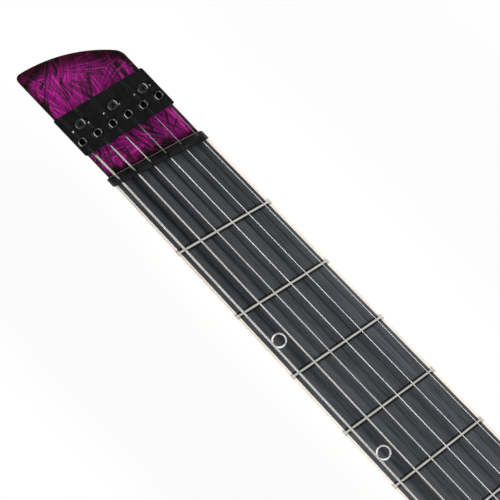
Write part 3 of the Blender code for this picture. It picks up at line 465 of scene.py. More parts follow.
def streaked(name):
    made, shader = principled(name, 0.30, specular=0.05)
    tree = made.node_tree
    apart = add_node(tree, "ShaderNodeSeparateXYZ")
    tree.links.new(object_space(tree), apart.inputs[0])
    place = add_node(tree, "ShaderNodeCombineXYZ")
    for index, lean in ((0, 0.8), (1, 0.6)):
        tree.links.new(maths(tree, "MULTIPLY_ADD", apart.outputs[2], lean, apart.outputs[index]), place.inputs[index])
    place = place.outputs[0]
    broad = stroke_fans(tree, place, 0.021, 0.0036, 0.060, 0.42)
    fine = stroke_fans(tree, place, 0.019, 0.0011, 0.040, 0.9)
    thin = stroke_fans(tree, place, 0.015, 0.0008, 0.030, 2.1)
    rim = add_node(tree, "ShaderNodeAttribute", attribute_name="rim").outputs["Fac"]
    inside = remap(tree, rim, 0.10, 0.72)
    cover = maths(tree, "MULTIPLY_ADD", inside, 0.11, broad)
    strokes = remap(tree, cover, 0.47, 0.56)
    hatched = maths(tree, "MULTIPLY", dark_lines(tree, fine, 0.045), dark_lines(tree, thin, 0.040))
    over = maths(tree, "MULTIPLY", strokes, hatched)
    under = maths(tree, "MULTIPLY", remap(tree, fine, 0.56, 0.62), 0.7)
    ink = maths(tree, "MAXIMUM", over, under)
    ground = blend_colours(tree, fine, (0.004, 0.003, 0.004), (0.040, 0.016, 0.022))
    purple = blend_colours(tree, remap(tree, thin, 0.3, 0.7), (0.21, 0.004, 0.135), (0.46, 0.022, 0.275))
    colour = blend_colours(tree, ink, ground, purple)
    burst = blend_colours(tree, inside, (0.15, 0.13, 0.08), (1.0, 1.0, 1.0))
    shaded = add_node(tree, "ShaderNodeMix", data_type="RGBA", blend_type="MULTIPLY")
    shaded.inputs["Factor"].default_value = 1.0
    tree.links.new(colour, shaded.inputs[6])
    tree.links.new(burst, shaded.inputs[7])
    tree.links.new(shaded.outputs[2], shader.inputs["Base Color"])
    tree.links.new(remap(tree, ink, 0, 1, 0.36, 0.26), shader.inputs["Roughness"])
    dent(tree, shader, ink, 0.00002)
    return made


FINISHES["streaked_finish"] = streaked("streaked_finish")
for row in frame["record"]["subparts"]:
    item = bpy.data.objects[row["node"]]
    item.data.materials.clear()
    item.data.materials.append(FINISHES[row["material_slot"]])
print("finishes:", sorted(FINISHES))

# %% [markdown]
# ## From a bmesh to a piece
# Every new piece ends the same way: merge doubles, turn the faces outwards, shade smooth except
# over sharp edges, then say which body it rides and which plain nodes it stands for. One
# function does that. The others are the few shapes that come back all over a guitar: a slab
# cut from an outline, a turned part, and a tool that cuts.


# %% Piece helpers
def to_mesh(name, bm, sharp=35):
    bmesh.ops.remove_doubles(bm, verts=bm.verts, dist=1e-6)
    bmesh.ops.recalc_face_normals(bm, faces=bm.faces)
    mesh = bpy.data.meshes.new(name)
    bm.to_mesh(mesh)
    bm.free()
    mesh.shade_smooth()
    mesh.set_sharp_from_angle(angle=math.radians(sharp))
    return mesh


def finished(name, mesh, finish, body="root", nodes=()):
    """Link a mesh as a piece that rides a body and stands for some of its nodes."""
    mesh.materials.clear()
    mesh.materials.append(FINISHES[finish])
    item = bpy.data.objects.new(name, mesh)
    bpy.context.collection.objects.link(item)
    if nodes:
        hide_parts(*nodes)
    if body:
        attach(item, body)
    return item


def face_from(bm, points):
    """One flat face with these corners."""
    return bm.faces.new([bm.verts.new(point) for point in points])


def raised(bm, face, height):
    """Extrude a face straight up. Its new top face comes back."""
    made = bmesh.ops.extrude_face_region(bm, geom=[face])
    top = [g for g in made["geom"] if isinstance(g, bmesh.types.BMFace)]
    corners = [g for g in made["geom"] if isinstance(g, bmesh.types.BMVert)]
    bmesh.ops.translate(bm, verts=corners, vec=(0, 0, height))
    return top[0]


def eased(bm, edges, width, segments=3):
    """Round some edges off."""
    bmesh.ops.bevel(
        bm, geom=list(edges), offset=width, offset_type="OFFSET", segments=segments,
        profile=0.5, affect="EDGES", material=-1, clamp_overlap=True,
    )


def at_height(bm, height):
    """The edges that lie level at this height."""
    return [e for e in bm.edges if all(abs(v.co.z - height) < 1e-6 for v in e.verts)]


def upright(bm):
    """The edges that stand upright."""
    found = []
    for edge in bm.edges:
        run = edge.verts[1].co - edge.verts[0].co
        if Vector(run.xy).length < 1e-6 < abs(run.z):
            found.append(edge)
    return found


def turned(profile, steps=48):
    """A bmesh turned round Z from (radius, height) pairs."""
    bm = bmesh.new()
    chain = [bm.verts.new((radius, 0, height)) for radius, height in profile]
    edges = [bm.edges.new(pair) for pair in zip(chain, chain[1:])]
    bmesh.ops.spin(
        bm, geom=chain + edges, cent=(0, 0, 0), axis=(0, 0, 1), dvec=(0, 0, 0),
        angle=2 * math.pi, steps=steps, use_merge=True, use_duplicate=False,
    )
    bmesh.ops.remove_doubles(bm, verts=bm.verts, dist=1e-7)
    return bm


def cut(mesh, *tools, operation="DIFFERENCE", sharp=25):
    """The mesh less each bmesh tool in turn, shaded anew."""
    for tool in tools:
        work = bpy.data.objects.new("work", mesh)
        cutter = bpy.data.objects.new("cutter", to_mesh("cutter", tool))
        bpy.context.collection.objects.link(work)
        bpy.context.collection.objects.link(cutter)
        step = work.modifiers.new("cut", "BOOLEAN")
        step.operation = operation
        step.solver = "EXACT"
        step.object = cutter
        seen = work.evaluated_get(bpy.context.evaluated_depsgraph_get())
        mesh = bpy.data.meshes.new_from_object(seen)
        bpy.data.objects.remove(work)
        bpy.data.objects.remove(cutter)
    mesh.shade_smooth()
    mesh.set_sharp_from_angle(angle=math.radians(sharp))
    return mesh


def merged(bms):
    """Several bmeshes as one."""
    whole = bmesh.new()
    for bm in bms:
        part = bpy.data.meshes.new("part")
        bm.to_mesh(part)
        bm.free()
        whole.from_mesh(part)
        bpy.data.meshes.remove(part)
    return whole


def moved(bm, spot, axis=(0, 0, 1)):
    """Stand a bmesh on a spot, with its own Z along the axis."""
    turn = Vector((0, 0, 1)).rotation_difference(Vector(axis)).to_matrix().to_4x4()
    bmesh.ops.transform(bm, verts=bm.verts, matrix=Matrix.Translation(spot) @ turn)
    return bm


def box(low, high):
    bm = bmesh.new()
    bmesh.ops.create_cube(bm, size=1.0)
    low, high = Vector(low), Vector(high)
    bmesh.ops.scale(bm, verts=bm.verts, vec=high - low)
    bmesh.ops.translate(bm, verts=bm.verts, vec=(low + high) / 2)
    return bm


print("piece helpers are ready")

# %% [markdown]
# ## The headpiece
# Without tuners the head is only a short plate behind the nut. Its top is a thin veneer with a
# long curved tip. The curve is one vertex spun about the centre of the arc, the plate is that
# outline extruded, and its rim is bevelled. To shade the rim darker, the top is cut into a
# grid and every vertex stores how far inside the outline it lies.

# %% Headpiece veneer
HEAD_BASS_Y, HEAD_TREBLE_Y = -0.0208, 0.0194
HEAD_TIP_BASS = Vector((NUT_X - 0.0680, HEAD_BASS_Y, 0))
HEAD_TIP_TREBLE = Vector((NUT_X - 0.0455, HEAD_TREBLE_Y, 0))
HEAD_TIP_RADIUS = 0.068
HEAD_TOP = 0.0460
NECK_TOP = 0.0435
NUT_LENGTH = 0.0046
BURST = 0.0125  # how far the dark edge reaches in


def store_rim(mesh, reach, distance):
    """Store on each vertex how far inside the outline it lies, from 0 to 1."""
    rim = mesh.attributes.new("rim", "FLOAT", "POINT")
    for vertex, item in zip(mesh.vertices, rim.data):
        item.value = min(max(distance(vertex.co) / reach, 0.0), 1.0)


def store_polish_and_painted_light(mesh, value):
    """Store on each vertex a value from its place and how far it faces up, which scales the steel's colour: painted
    light and shade, and on frets also polish.
    """
    polish_and_painted_light = mesh.attributes.new("polish_and_painted_light", "FLOAT", "POINT")
    for vertex, item in zip(mesh.vertices, polish_and_painted_light.data):
        item.value = min(max(value(vertex.co, vertex.normal.z), 0.0), 1.0)


def gridded(bm, step):
    """Cut the mesh along X and Y so that values on its vertices can change smoothly."""
    for axis in (0, 1):
        places = [v.co[axis] for v in bm.verts]
        place = math.ceil(min(places) / step) * step
        while place < max(places):
            centre, direction = Vector(), Vector()
            centre[axis], direction[axis] = place, 1
            geometry = bm.verts[:] + bm.edges[:] + bm.faces[:]
            bmesh.ops.bisect_plane(bm, geom=geometry, plane_co=centre, plane_no=direction)
            place += step


chord = HEAD_TIP_TREBLE - HEAD_TIP_BASS
out_of_head = Vector((-chord.y, chord.x, 0)).normalized()
sagitta = math.sqrt(HEAD_TIP_RADIUS**2 - (chord.length / 2) ** 2)
tip_centre = (HEAD_TIP_BASS + HEAD_TIP_TREBLE) / 2 - out_of_head * sagitta
sweep = (HEAD_TIP_BASS - tip_centre).angle(HEAD_TIP_TREBLE - tip_centre)


def from_head_edge(spot):
    tip = HEAD_TIP_RADIUS - Vector((spot.x - tip_centre.x, spot.y - tip_centre.y)).length
    narrow = 3 + 9 * min(max(1 - (NUT_X - spot.x) / 0.05, 0), 1)
    nut = 0.001 + 1.4 * (fan_x(0, spot.y) - NUT_LENGTH - spot.x)
    return min(tip, nut, (spot.y - HEAD_BASS_Y) * narrow, (HEAD_TREBLE_Y - spot.y) * narrow)


def head_slab(rear, low, high):
    """The plan of the head, closed by its rear corners and raised from low to high."""
    bm = bmesh.new()
    spare = 0.065  # share of a radian left straight at each corner, as room for its round
    start = tip_centre + Matrix.Rotation(-spare, 3, "Z") @ (HEAD_TIP_BASS - tip_centre)
    tip = bm.verts.new(start)
    bmesh.ops.spin(
        bm, geom=[tip], cent=tip_centre, axis=(0, 0, 1), dvec=(0, 0, 0),
        angle=2 * spare - sweep, steps=32, use_merge=False, use_duplicate=False,
    )
    last = min(bm.verts, key=lambda v: (v.co - HEAD_TIP_TREBLE).length)
    corners = [(HEAD_TIP_TREBLE.x, HEAD_TIP_TREBLE.y), *rear, (HEAD_TIP_BASS.x, HEAD_TIP_BASS.y)]
    chain = [last] + [bm.verts.new((x, y, 0)) for x, y in corners] + [tip]
    for pair in zip(chain, chain[1:]):
        bm.edges.new(pair)
    plate = bmesh.ops.contextual_create(bm, geom=bm.edges[:])["faces"][0]
    bmesh.ops.translate(bm, verts=bm.verts, vec=(0, 0, low))
    raised(bm, plate, high - low)
    for corner, radius in ((HEAD_TIP_BASS, 0.0028), (HEAD_TIP_TREBLE, 0.0024)):
        eased(bm, [e for e in upright(bm) if (e.verts[0].co.xy - corner.xy).length < 1e-5], radius, 6)
    return bm


bm = head_slab([(fan_x(0, y) - NUT_LENGTH, y) for y in (HEAD_TREBLE_Y, HEAD_BASS_Y)], NECK_TOP, HEAD_TOP)
eased(bm, at_height(bm, HEAD_TOP), 0.0008, 5)
gridded(bm, 0.002)
mesh = to_mesh("headpiece_face", bm)
store_rim(mesh, BURST, from_head_edge)
finished("headpiece_face", mesh, "streaked_finish", nodes=["headpiece_veneer"])
print("headpiece face:", len(mesh.polygons), "faces, tip arc", round(math.degrees(sweep)), "degrees")

# %% [markdown]
# ## The string lock
# With no tuners at this end, the strings stop in a steel block that is screwed to the head. Each
# string lies in its own channel and is clamped by a socket screw. The block is a skewed slab;
# channels and screw seats are cut out of it, and all its edges get a small round, because no
# machined edge is perfectly sharp and it is that round which catches the light.

# %% String lock
LOCK_SKEW = 0.215
LOCK_FRONT, LOCK_REAR = -0.0188, -0.0388
LOCK_BASS_Y, LOCK_TREBLE_Y = -0.0214, 0.0205
LOCK_TOP = 0.0524
LOCK_STRING_Z = 0.0481  # underside of a clamped string
LOCK_SPREAD, LOCK_OFFSET = 0.0362, -0.0002
LOCK_SCREW_X = -0.0249
LOCK_SCREW_RADIUS = 0.0021
LOCK_STRING_END = -0.0305
EASE = 0.00012  # round on every machined edge


def lock_y(number):
    return LOCK_OFFSET + share_of(number) * LOCK_SPREAD


def lock_x(offset, y):
    return NUT_X + offset + LOCK_SKEW * y


def machined(item, width=EASE, segments=2):
    """A round on every sharp edge of a finished piece."""
    step = item.modifiers.new("ease", "BEVEL")
    step.limit_method = "ANGLE"
    step.angle_limit = math.radians(32)
    step.width = width
    step.segments = segments
    step.harden_normals = True
    return item


bm = bmesh.new()
corners = [
    (lock_x(LOCK_REAR, LOCK_BASS_Y), LOCK_BASS_Y, HEAD_TOP),
    (lock_x(LOCK_FRONT, LOCK_BASS_Y), LOCK_BASS_Y, HEAD_TOP),
    (lock_x(LOCK_FRONT, LOCK_TREBLE_Y), LOCK_TREBLE_Y, HEAD_TOP),
    (lock_x(LOCK_REAR, LOCK_TREBLE_Y), LOCK_TREBLE_Y, HEAD_TOP),
]
block_top = raised(bm, face_from(bm, corners), LOCK_TOP - HEAD_TOP)
eased(bm, upright(bm), 0.0008, 4)
sides = [e for e in at_height(bm, LOCK_TOP) if abs(e.verts[0].co.y - e.verts[1].co.y) < 1e-6]
eased(bm, sides, 0.0007, 1)
SLIT_HALF, SLIT_CHAMFER = 0.00022, 0.00024


def chamfer_tool(x, y):
    """A wedge that breaks both upper edges of a channel."""
    bm = bmesh.new()
    wide = SLIT_HALF + 2 * SLIT_CHAMFER
    low, high = LOCK_TOP - 0.62 * SLIT_CHAMFER, LOCK_TOP + 0.62 * SLIT_CHAMFER
    corners = ((-SLIT_HALF, low), (SLIT_HALF, low), (wide, high), (-wide, high))
    face = face_from(bm, [(x - 0.02, y + across, z) for across, z in corners])
    made = bmesh.ops.extrude_face_region(bm, geom=[face])["geom"]
    bmesh.ops.translate(bm, verts=[g for g in made if isinstance(g, bmesh.types.BMVert)], vec=(0.04, 0, 0))
    return bm


tools = []
for number in NUMBERS:
    y = lock_y(number)
    x = lock_x(LOCK_SCREW_X, y)
    radius = STRING_DIAMETERS[number - 1] / 2 + 0.00012
    middle = LOCK_STRING_Z + STRING_DIAMETERS[number - 1] / 2
    tools.append(box((x - 0.02, y - SLIT_HALF, middle), (x + 0.02, y + SLIT_HALF, 0.06)))
    tools.append(chamfer_tool(x, y))
    tools.append(moved(turned(((0, -0.02), (radius, -0.02), (radius, 0.02), (0, 0.02)), 16), (x, y, middle), (1, 0, 0)))
    radius = max(radius, 0.00055)
    tail = turned(((0, middle), (radius, middle), (radius, 0.06), (0, 0.06)), 20)
    tools.append(moved(tail, (lock_x(LOCK_STRING_END, y), y, 0)))
    hole, wide = LOCK_SCREW_RADIUS + 0.00012, LOCK_SCREW_RADIUS + 0.00062
    seat = ((0, middle), (hole, middle), (hole, LOCK_TOP - 0.0003), (wide, LOCK_TOP), (wide, 0.06), (0, 0.06))
    tools.append(moved(turned(seat, 40), (x, y, 0)))
    notch = turned(((0, LOCK_TOP - 0.0005), (0.00075, LOCK_TOP), (0.00075, 0.06), (0, 0.06)), 20)
    tools.append(moved(notch, (lock_x(LOCK_REAR, y), y, 0)))
block = cut(to_mesh("string_lock", bm), *tools)
machined(finished("string_lock_block", block, "black_metal", nodes=["string_lock"]))
print("string lock:", len(block.polygons), "faces")

# %% [markdown]
# ## Screws in the lock
# Six set screws clamp the strings, each with a hexagon socket, and three pan head screws with a
# cross hold the block down. A screw head is a turned profile with its socket cut out. The wide
# chamfer round the top is what shows as a bright crescent under each lamp.

# %% Lock screws
SOCKET_RADIUS = 0.0014
PAN_RADIUS, PAN_HEIGHT = 0.00215, 0.00135
PAN_SPOTS = ((-0.0348, -0.0139), (-0.0312, 0.0012), (-0.0277, 0.0150))


def hexagon(radius, low, high):
    """A six sided tool for a socket, with a cone that leads into it."""
    lead = 0.00008
    profile = (
        (0, low - 0.6 * radius), (radius, low), (radius, high - 0.62 * lead),
        (radius + lead, high), (radius + lead, high + 0.001), (0, high + 0.001),
    )
    return turned(profile, 6)


def set_screw(name, spot, tip, nodes, radius=LOCK_SCREW_RADIUS):
    profile = [(0, tip), (radius * 0.6, tip), (radius, tip + 0.0008), (radius, -0.0001), (radius * 0.98, 0)]
    for tilt in (40, 37, 34, 31):
        across, up = profile[-1]
        profile.append((across - 0.00017, up + 0.00017 * math.tan(math.radians(tilt))))
    profile.append((0, profile[-1][1]))
    socket = hexagon(SOCKET_RADIUS, -0.0022, profile[-1][1])
    mesh = cut(to_mesh(name, turned(profile, 40), 20), socket, sharp=20)
    mesh.transform(Matrix.Translation(spot))
    return finished(name, mesh, "screw_metal", nodes=nodes)


def cross_tool(reach, wide, deep):
    """Two crossed wedges that cut the recess of a cross head screw."""
    wings = []
    for turn in (0, math.pi / 2):
        wing = box((-reach, -wide / 2, -deep), (reach, wide / 2, 0.0001))
        low = [v for v in wing.verts if v.co.z < 0]
        bmesh.ops.scale(wing, verts=low, vec=(0.35, 0.1, 1))
        bmesh.ops.rotate(wing, verts=wing.verts, cent=(0, 0, 0), matrix=Matrix.Rotation(turn, 3, "Z"))
        wings.append(wing)
    return wings


def pan_head(radius, height, steps=40):
    """A low dome on an upright rim. Its slope stays below 31 degrees."""
    profile = [(0, height)]
    for i in range(10):
        across, up = profile[-1]
        step = radius * 0.097
        profile.append((across + step, up - step * math.tan(math.radians(3 + 3.1 * i))))
    up = profile[-1][1]
    profile += [(radius * 0.99, up - 0.00003), (radius, up - 0.0001), (radius, 0), (0, 0)]
    return turned(profile, steps)


for number in NUMBERS:
    y = lock_y(number)
    tip = LOCK_STRING_Z + STRING_DIAMETERS[number - 1] + 0.0001 - LOCK_TOP
    spot = (lock_x(LOCK_SCREW_X, y), y, LOCK_TOP)
    set_screw(f"set_screw_{number}", spot, tip, nodes=[f"lock_screw_{number}"])

for index, (x, y) in enumerate(PAN_SPOTS):
    mesh = to_mesh("pan", pan_head(PAN_RADIUS, PAN_HEIGHT), 20)
    mesh.transform(Matrix.Translation((0, 0, -PAN_HEIGHT)))
    mesh = cut(mesh, *cross_tool(0.00140, 0.00062, 0.0012), sharp=20)
    turn = Matrix.Rotation(math.radians(20 + 35 * index), 4, "Z")
    mesh.transform(Matrix.Translation((NUT_X + x, y, LOCK_TOP + PAN_HEIGHT)) @ turn)
    finished(f"lock_mount_screw_{index + 1}", mesh, "screw_metal")
print("set screws and pan head screws:", STRING_COUNT, len(PAN_SPOTS))

# %% [markdown]
# ## The nut
# The nut carries the strings over the end of the fretboard. It is highest on the side of the
# frets and falls towards the lock, and its ends stick out a little as rounded lobes. One face
# with the shape of its section is extruded from station to station and shrunk at both ends.

# %% Nut
NUT_TOP = 0.0527
FRET_HEIGHT = 0.0011
NUT_CLEARANCE = 0.0005
SADDLE_CLEARANCE = 0.0029


def lofted(rings):
    """A bar whose section changes: one face, extruded from ring to ring."""
    bm = bmesh.new()
    face = face_from(bm, rings[0])
    for ring in rings[1:]:
        made = bmesh.ops.extrude_face_region(bm, geom=[face])["geom"]
        face = next(g for g in made if isinstance(g, bmesh.types.BMFace))
        for vertex, spot in zip(face.verts, ring):
            vertex.co = spot
    return bm


def nut_string_z(y):
    return crowned(BOARD_TOP + FRET_HEIGHT + NUT_CLEARANCE, y)


def saddle_string_z(y):
    return crowned(BOARD_TOP + FRET_HEIGHT + SADDLE_CLEARANCE, y)


def nut_ring(y, size, length=1.0):
    """The section of the nut at y, as (distance behind the front, share of the height)."""
    outline = (
        (0.0, 0.0), (0.0, 0.90), (-0.00012, 0.955), (-0.0004, 0.99), (-0.0008, 1.0),
        (-0.0018, 0.985), (-0.0042, 0.655), (-0.00455, 0.60), (-0.0046, 0.55), (-0.0046, 0.0),
    )
    middle = fan_x(0, y) - NUT_LENGTH / 2
    low = NECK_TOP
    rise = crowned(NUT_TOP, y) - low
    return [(middle + (x + NUT_LENGTH / 2) * length, y, low + rise * z * size) for x, z in outline]


stations = []
for edge, lobe in ((-0.0206, -0.0014), (0.0194, 0.0013)):
    bend = []
    for i in range(7):
        swing = math.radians(90 * i / 6)
        shrink = 1 - math.cos(swing)
        bend.append((edge + lobe * math.sin(swing), 1 - 0.55 * shrink, 1 - 0.28 * shrink))
    stations += bend[::-1] if lobe < 0 else bend
stations[7:7] = [(-0.0206 + 0.0400 * i / 12, 1.0, 1.0) for i in range(1, 12)]
nut = to_mesh("nut_bar", lofted([nut_ring(*station) for station in stations]))
slots = []
for number in NUMBERS:
    y = share_of(number) * NUT_SPREAD
    x = fan_x(0, y)
    radius = STRING_DIAMETERS[number - 1] / 2 + 0.00006
    fall = (nut_string_z(y) - LOCK_STRING_Z) / (x - lock_x(LOCK_SCREW_X, y))
    slot = bmesh.new()
    bmesh.ops.create_cone(slot, segments=20, radius1=radius, radius2=radius, depth=0.02, cap_ends=True)
    moved(slot, (x - 0.005, y, nut_string_z(y) + radius - 0.00006 - 0.005 * fall), (1, 0, fall))
    ceiling = [v for v in slot.verts if v.co.z > nut_string_z(y) + radius - 0.00006 + (v.co.x - x) * fall + 1e-6]
    bmesh.ops.translate(slot, verts=ceiling, vec=(0, 0, 0.004))
    slots.append(slot)
nut = cut(nut, *slots, sharp=40)
finished("nut_bar", nut, "black_composite", nodes=["nut"])
shim = [
    (fan_x(0, HEAD_BASS_Y + 0.0004) - NUT_LENGTH, HEAD_BASS_Y + 0.0004),
    (fan_x(0, HEAD_TREBLE_Y - 0.0004) - NUT_LENGTH, HEAD_TREBLE_Y - 0.0004),
]
bm = bmesh.new()
ends = [(x - 0.00028, y, HEAD_TOP - 0.001) for x, y in shim] + [(x, y, HEAD_TOP - 0.001) for x, y in shim[::-1]]
raised(bm, face_from(bm, ends), 0.00112)
finished("nut_shim", to_mesh("nut_shim", bm), "shim")
print("nut:", len(nut.polygons), "faces")

# %% [markdown]
# ## The fretboard and its rings
# The board is a slab with a round top, narrow at the nut and wider at the body, so two sections
# and one extrusion make it. Its place markers are thin white rings let in flush, near the bass
# strings, each a small rectangle spun round and then pressed onto the crown of the board.

# %% Fretboard
NECK_OFFSET = -0.0005
BOARD_MARGIN = 0.0033
BOARD_START, BOARD_END = 0.0, 0.770
BINDING_WIDTH = 0.0014
CROWN_STEPS = 20
FRET_COUNT = 24
RING_SHARE = -0.423
RING_SHIFT = 0.00105
RING_RADII = 0.00252, 0.00322
MARKED = {3: 1, 5: 1, 7: 1, 9: 1, 12: 2, 15: 1, 17: 1, 19: 1, 21: 1, 24: 2}


def fret_share(number):
    return 1 - 2 ** (-number / 12)


def board_edge(t, side, inset=0.0):
    """The y of the fretboard's edge, drawn in by the inset."""
    return NECK_OFFSET + side * (spread(t) / 2 + BOARD_MARGIN - inset)


def board_ring(t):
    low, high = board_edge(t, -1, BINDING_WIDTH), board_edge(t, 1, BINDING_WIDTH)
    ring = [(fan_x(t, low), low, NECK_TOP)]
    for i in range(CROWN_STEPS + 1):
        y = low + (high - low) * i / CROWN_STEPS
        ring.append((fan_x(t, y), y, crowned(BOARD_TOP, y)))
    return ring + [(fan_x(t, high), high, NECK_TOP)]


board = to_mesh("fretboard_slab", lofted([board_ring(BOARD_START), board_ring(BOARD_END)]))
finished("fretboard_slab", board, "fretboard_wood", nodes=["fretboard"])


def marker_ring(number, share):
    """A ring let into the space before a fret, flush with the round top."""
    t = (fret_share(number - 1) + fret_share(number)) / 2
    y = share * spread(t)
    inner, outer = RING_RADII
    bm = bmesh.new()
    profile = ((inner, -0.0006), (outer, -0.0006), (outer, 0.00001), (inner, 0.00001))
    chain = [bm.verts.new((radius, 0, height)) for radius, height in profile]
    edges = [bm.edges.new(pair) for pair in zip(chain, chain[1:] + chain[:1])]
    bmesh.ops.spin(
        bm, geom=chain + edges, cent=(0, 0, 0), axis=(0, 0, 1), dvec=(0, 0, 0),
        angle=2 * math.pi, steps=56, use_merge=True, use_duplicate=False,
    )
    bmesh.ops.translate(bm, verts=bm.verts, vec=(fan_x(t, y) + RING_SHIFT, y, 0))
    for vertex in bm.verts:
        vertex.co.z += crowned(BOARD_TOP, vertex.co.y)
    return bm


rings = []
for number, count in MARKED.items():
    rings.append(marker_ring(number, RING_SHARE))
    if count == 2:
        rings.append(marker_ring(number, -RING_SHARE))
finished("marker_rings", to_mesh("marker_rings", merged(rings)), "ring_inlay")
print("marker rings:", len(MARKED))

# %% [markdown]
# ## Binding
# Two pale strips close the sides of the board, and a third its end. Each is a small section
# whose outer top edge is rounded for the player's hand, extruded along the edge of the board.

# %% Binding
BINDING_ROUND = 0.0005


def binding_ring(t, side):
    """Section of a side strip, from its inner foot over the top to its outer foot."""
    inner, outer = board_edge(t, side, BINDING_WIDTH), board_edge(t, side)
    points = [(inner, NECK_TOP), (inner, crowned(BOARD_TOP, inner))]
    top = crowned(BOARD_TOP, outer)
    for i in range(5):
        swing = math.radians(22.5 * i)
        y = outer - side * BINDING_ROUND * (1 - math.sin(swing))
        points.append((y, top - BINDING_ROUND * (1 - math.cos(swing))))
    points.append((outer, NECK_TOP))
    return [(fan_x(t, y), y, z) for y, z in points]


def end_ring(side):
    """Section of the strip across the end of the board."""
    t = BOARD_END
    y = board_edge(t, side)
    x = fan_x(t, y)
    top = crowned(BOARD_TOP, y)
    reach = BINDING_WIDTH
    return [
        (x, y, NECK_TOP), (x, y, top), (x + reach - BINDING_ROUND, y, top),
        (x + reach, y, top - BINDING_ROUND), (x + reach, y, NECK_TOP),
    ]


strips = [lofted([binding_ring(BOARD_START, side), binding_ring(BOARD_END, side)]) for side in (-1, 1)]
strips.append(lofted([end_ring(-1), end_ring(1)]))
finished("binding_strips", to_mesh("binding_strips", merged(strips)), "pale_binding", nodes=["fretboard_binding"])
print("binding strips:", len(strips))

# %% [markdown]
# ## Frets
# A fret is a bar of steel wire with a low crown, pressed into a slot, whose ends are filed at a
# slant over the binding. The section is given as points, and each fret carries it along its own
# fan line over the round top of the board. Every vertex stores how light its steel is drawn: the
# polished crown is light, with painted light towards the treble side and painted highlights on
# the filed ends, and the steep flanks are dark, partly from their dull skin and partly painted shade.

# %% Frets
FRET_HALF = 0.00125
FRET_PROFILE = (
    (-FRET_HALF, -0.0004), (-FRET_HALF, 0.00004), (-0.00100, 0.00050), (-0.00068, 0.00086),
    (-0.00046, 0.00101), (-0.00022, 0.00108), (0.0, 0.0011), (0.00022, 0.00108),
    (0.00046, 0.00101), (0.00068, 0.00086), (0.00100, 0.00050), (FRET_HALF, 0.00004),
    (FRET_HALF, -0.0004),
)
FRET_SLANT = 0.55  # how far the top of an end is filed back, for its height


def fret_wire(number):
    t = fret_share(number)
    low, high = board_edge(t, -1), board_edge(t, 1)
    turn = math.cos(fan_angle(t))
    inner = low + BINDING_WIDTH, high - BINDING_WIDTH
    places = [low, inner[0]] + [inner[0] + 0.0002 + (inner[1] - inner[0] - 0.0004) * i / 12 for i in range(13)]
    places += [inner[1], high]
    rings = []
    for y in places:
        ring = []
        for across, lift in FRET_PROFILE:
            filed = FRET_SLANT * max(lift, 0) * ((y == low) - (y == high))
            spot = y + filed
            ring.append((fan_x(t, spot) + across / turn, spot, crowned(BOARD_TOP, spot) + lift))
        rings.append(ring)
    return lofted(rings)


frets = merged([fret_wire(number) for number in range(1, FRET_COUNT + 1)])
mesh = to_mesh("fret_wires", frets, 50)


def fret_polish_and_painted_light(spot, up):
    """Light on the polished crown and darker on the flanks, partly dull skin and partly painted shade, with painted
    light towards the treble side and painted highlights on the ends over the binding.
    """
    t = (spot.x - NUT_X) / MEAN_SCALE
    half = spread(t) / 2 + BOARD_MARGIN - BINDING_WIDTH
    treble = min(max(0.5 + (spot.y - NECK_OFFSET) / (2 * half), 0), 1)
    lift = spot.z - crowned(BOARD_TOP, spot.y)
    crown = (lift - 0.00097 - 0.00006 * treble) / (0.00011 - 0.00006 * treble)
    return max(min(crown, 1) * (0.78 + 0.22 * treble), abs(spot.y - NECK_OFFSET) > half - 0.0001)


store_polish_and_painted_light(mesh, fret_polish_and_painted_light)
finished("fret_wires", mesh, "fret_steel")
print("frets:", FRET_COUNT)

# %% [markdown]
# ## Strings
# Three strings are plain steel wire. The three bass strings have a core with a fine wire wound
# round it, and the winding is real here: one turn of its profile, spun on along the string like
# a screw. Both kinds are made straight and then laid along their route from the lock over the
# nut and the saddle into the bridge.

# %% Strings
BALL_Z = 0.0485
BALL_X = 0.0168  # from the crest of the saddle to the middle of the ball end
WINDINGS = {4: 0.00036, 5: 0.00042, 6: 0.00048}  # pitch of the wound strings
PLAIN_SIDES, WOUND_SIDES = 10, 8


def string_route(number):
    radius = STRING_DIAMETERS[number - 1] / 2
    share = share_of(number)
    nut_y, y, clamp_y = share * NUT_SPREAD, share * SADDLE_SPREAD, lock_y(number)
    crest_x = fan_x(1, y)
    low = LOCK_STRING_Z + radius
    end_x = lock_x(LOCK_STRING_END, clamp_y)
    return [
        Vector((end_x, clamp_y, LOCK_TOP + 0.0001)),
        Vector((end_x, clamp_y, low + 0.0008)),
        Vector((end_x + 0.0008, clamp_y, low)),
        Vector((lock_x(LOCK_SCREW_X + 0.0025, clamp_y), clamp_y, low)),
        Vector((fan_x(0, nut_y), nut_y, nut_string_z(nut_y) + radius)),
        Vector((crest_x, y, saddle_string_z(y) + radius)),
        Vector((crest_x + BALL_X, y, BALL_Z)),
    ]


def laid(bm, route):
    """Carry a straight string along X onto its route, point by point."""
    lengths = [(b - a).length for a, b in zip(route, route[1:])]
    for vertex in bm.verts:
        left = vertex.co.x
        leg = 0
        while leg < len(lengths) - 1 and left > lengths[leg]:
            left -= lengths[leg]
            leg += 1
        way = (route[leg + 1] - route[leg]).normalized()
        up = way.cross(Vector((0, 1, 0))).normalized()
        vertex.co = route[leg] + way * left + Vector((0, vertex.co.y, 0)) + up * vertex.co.z
    return bm


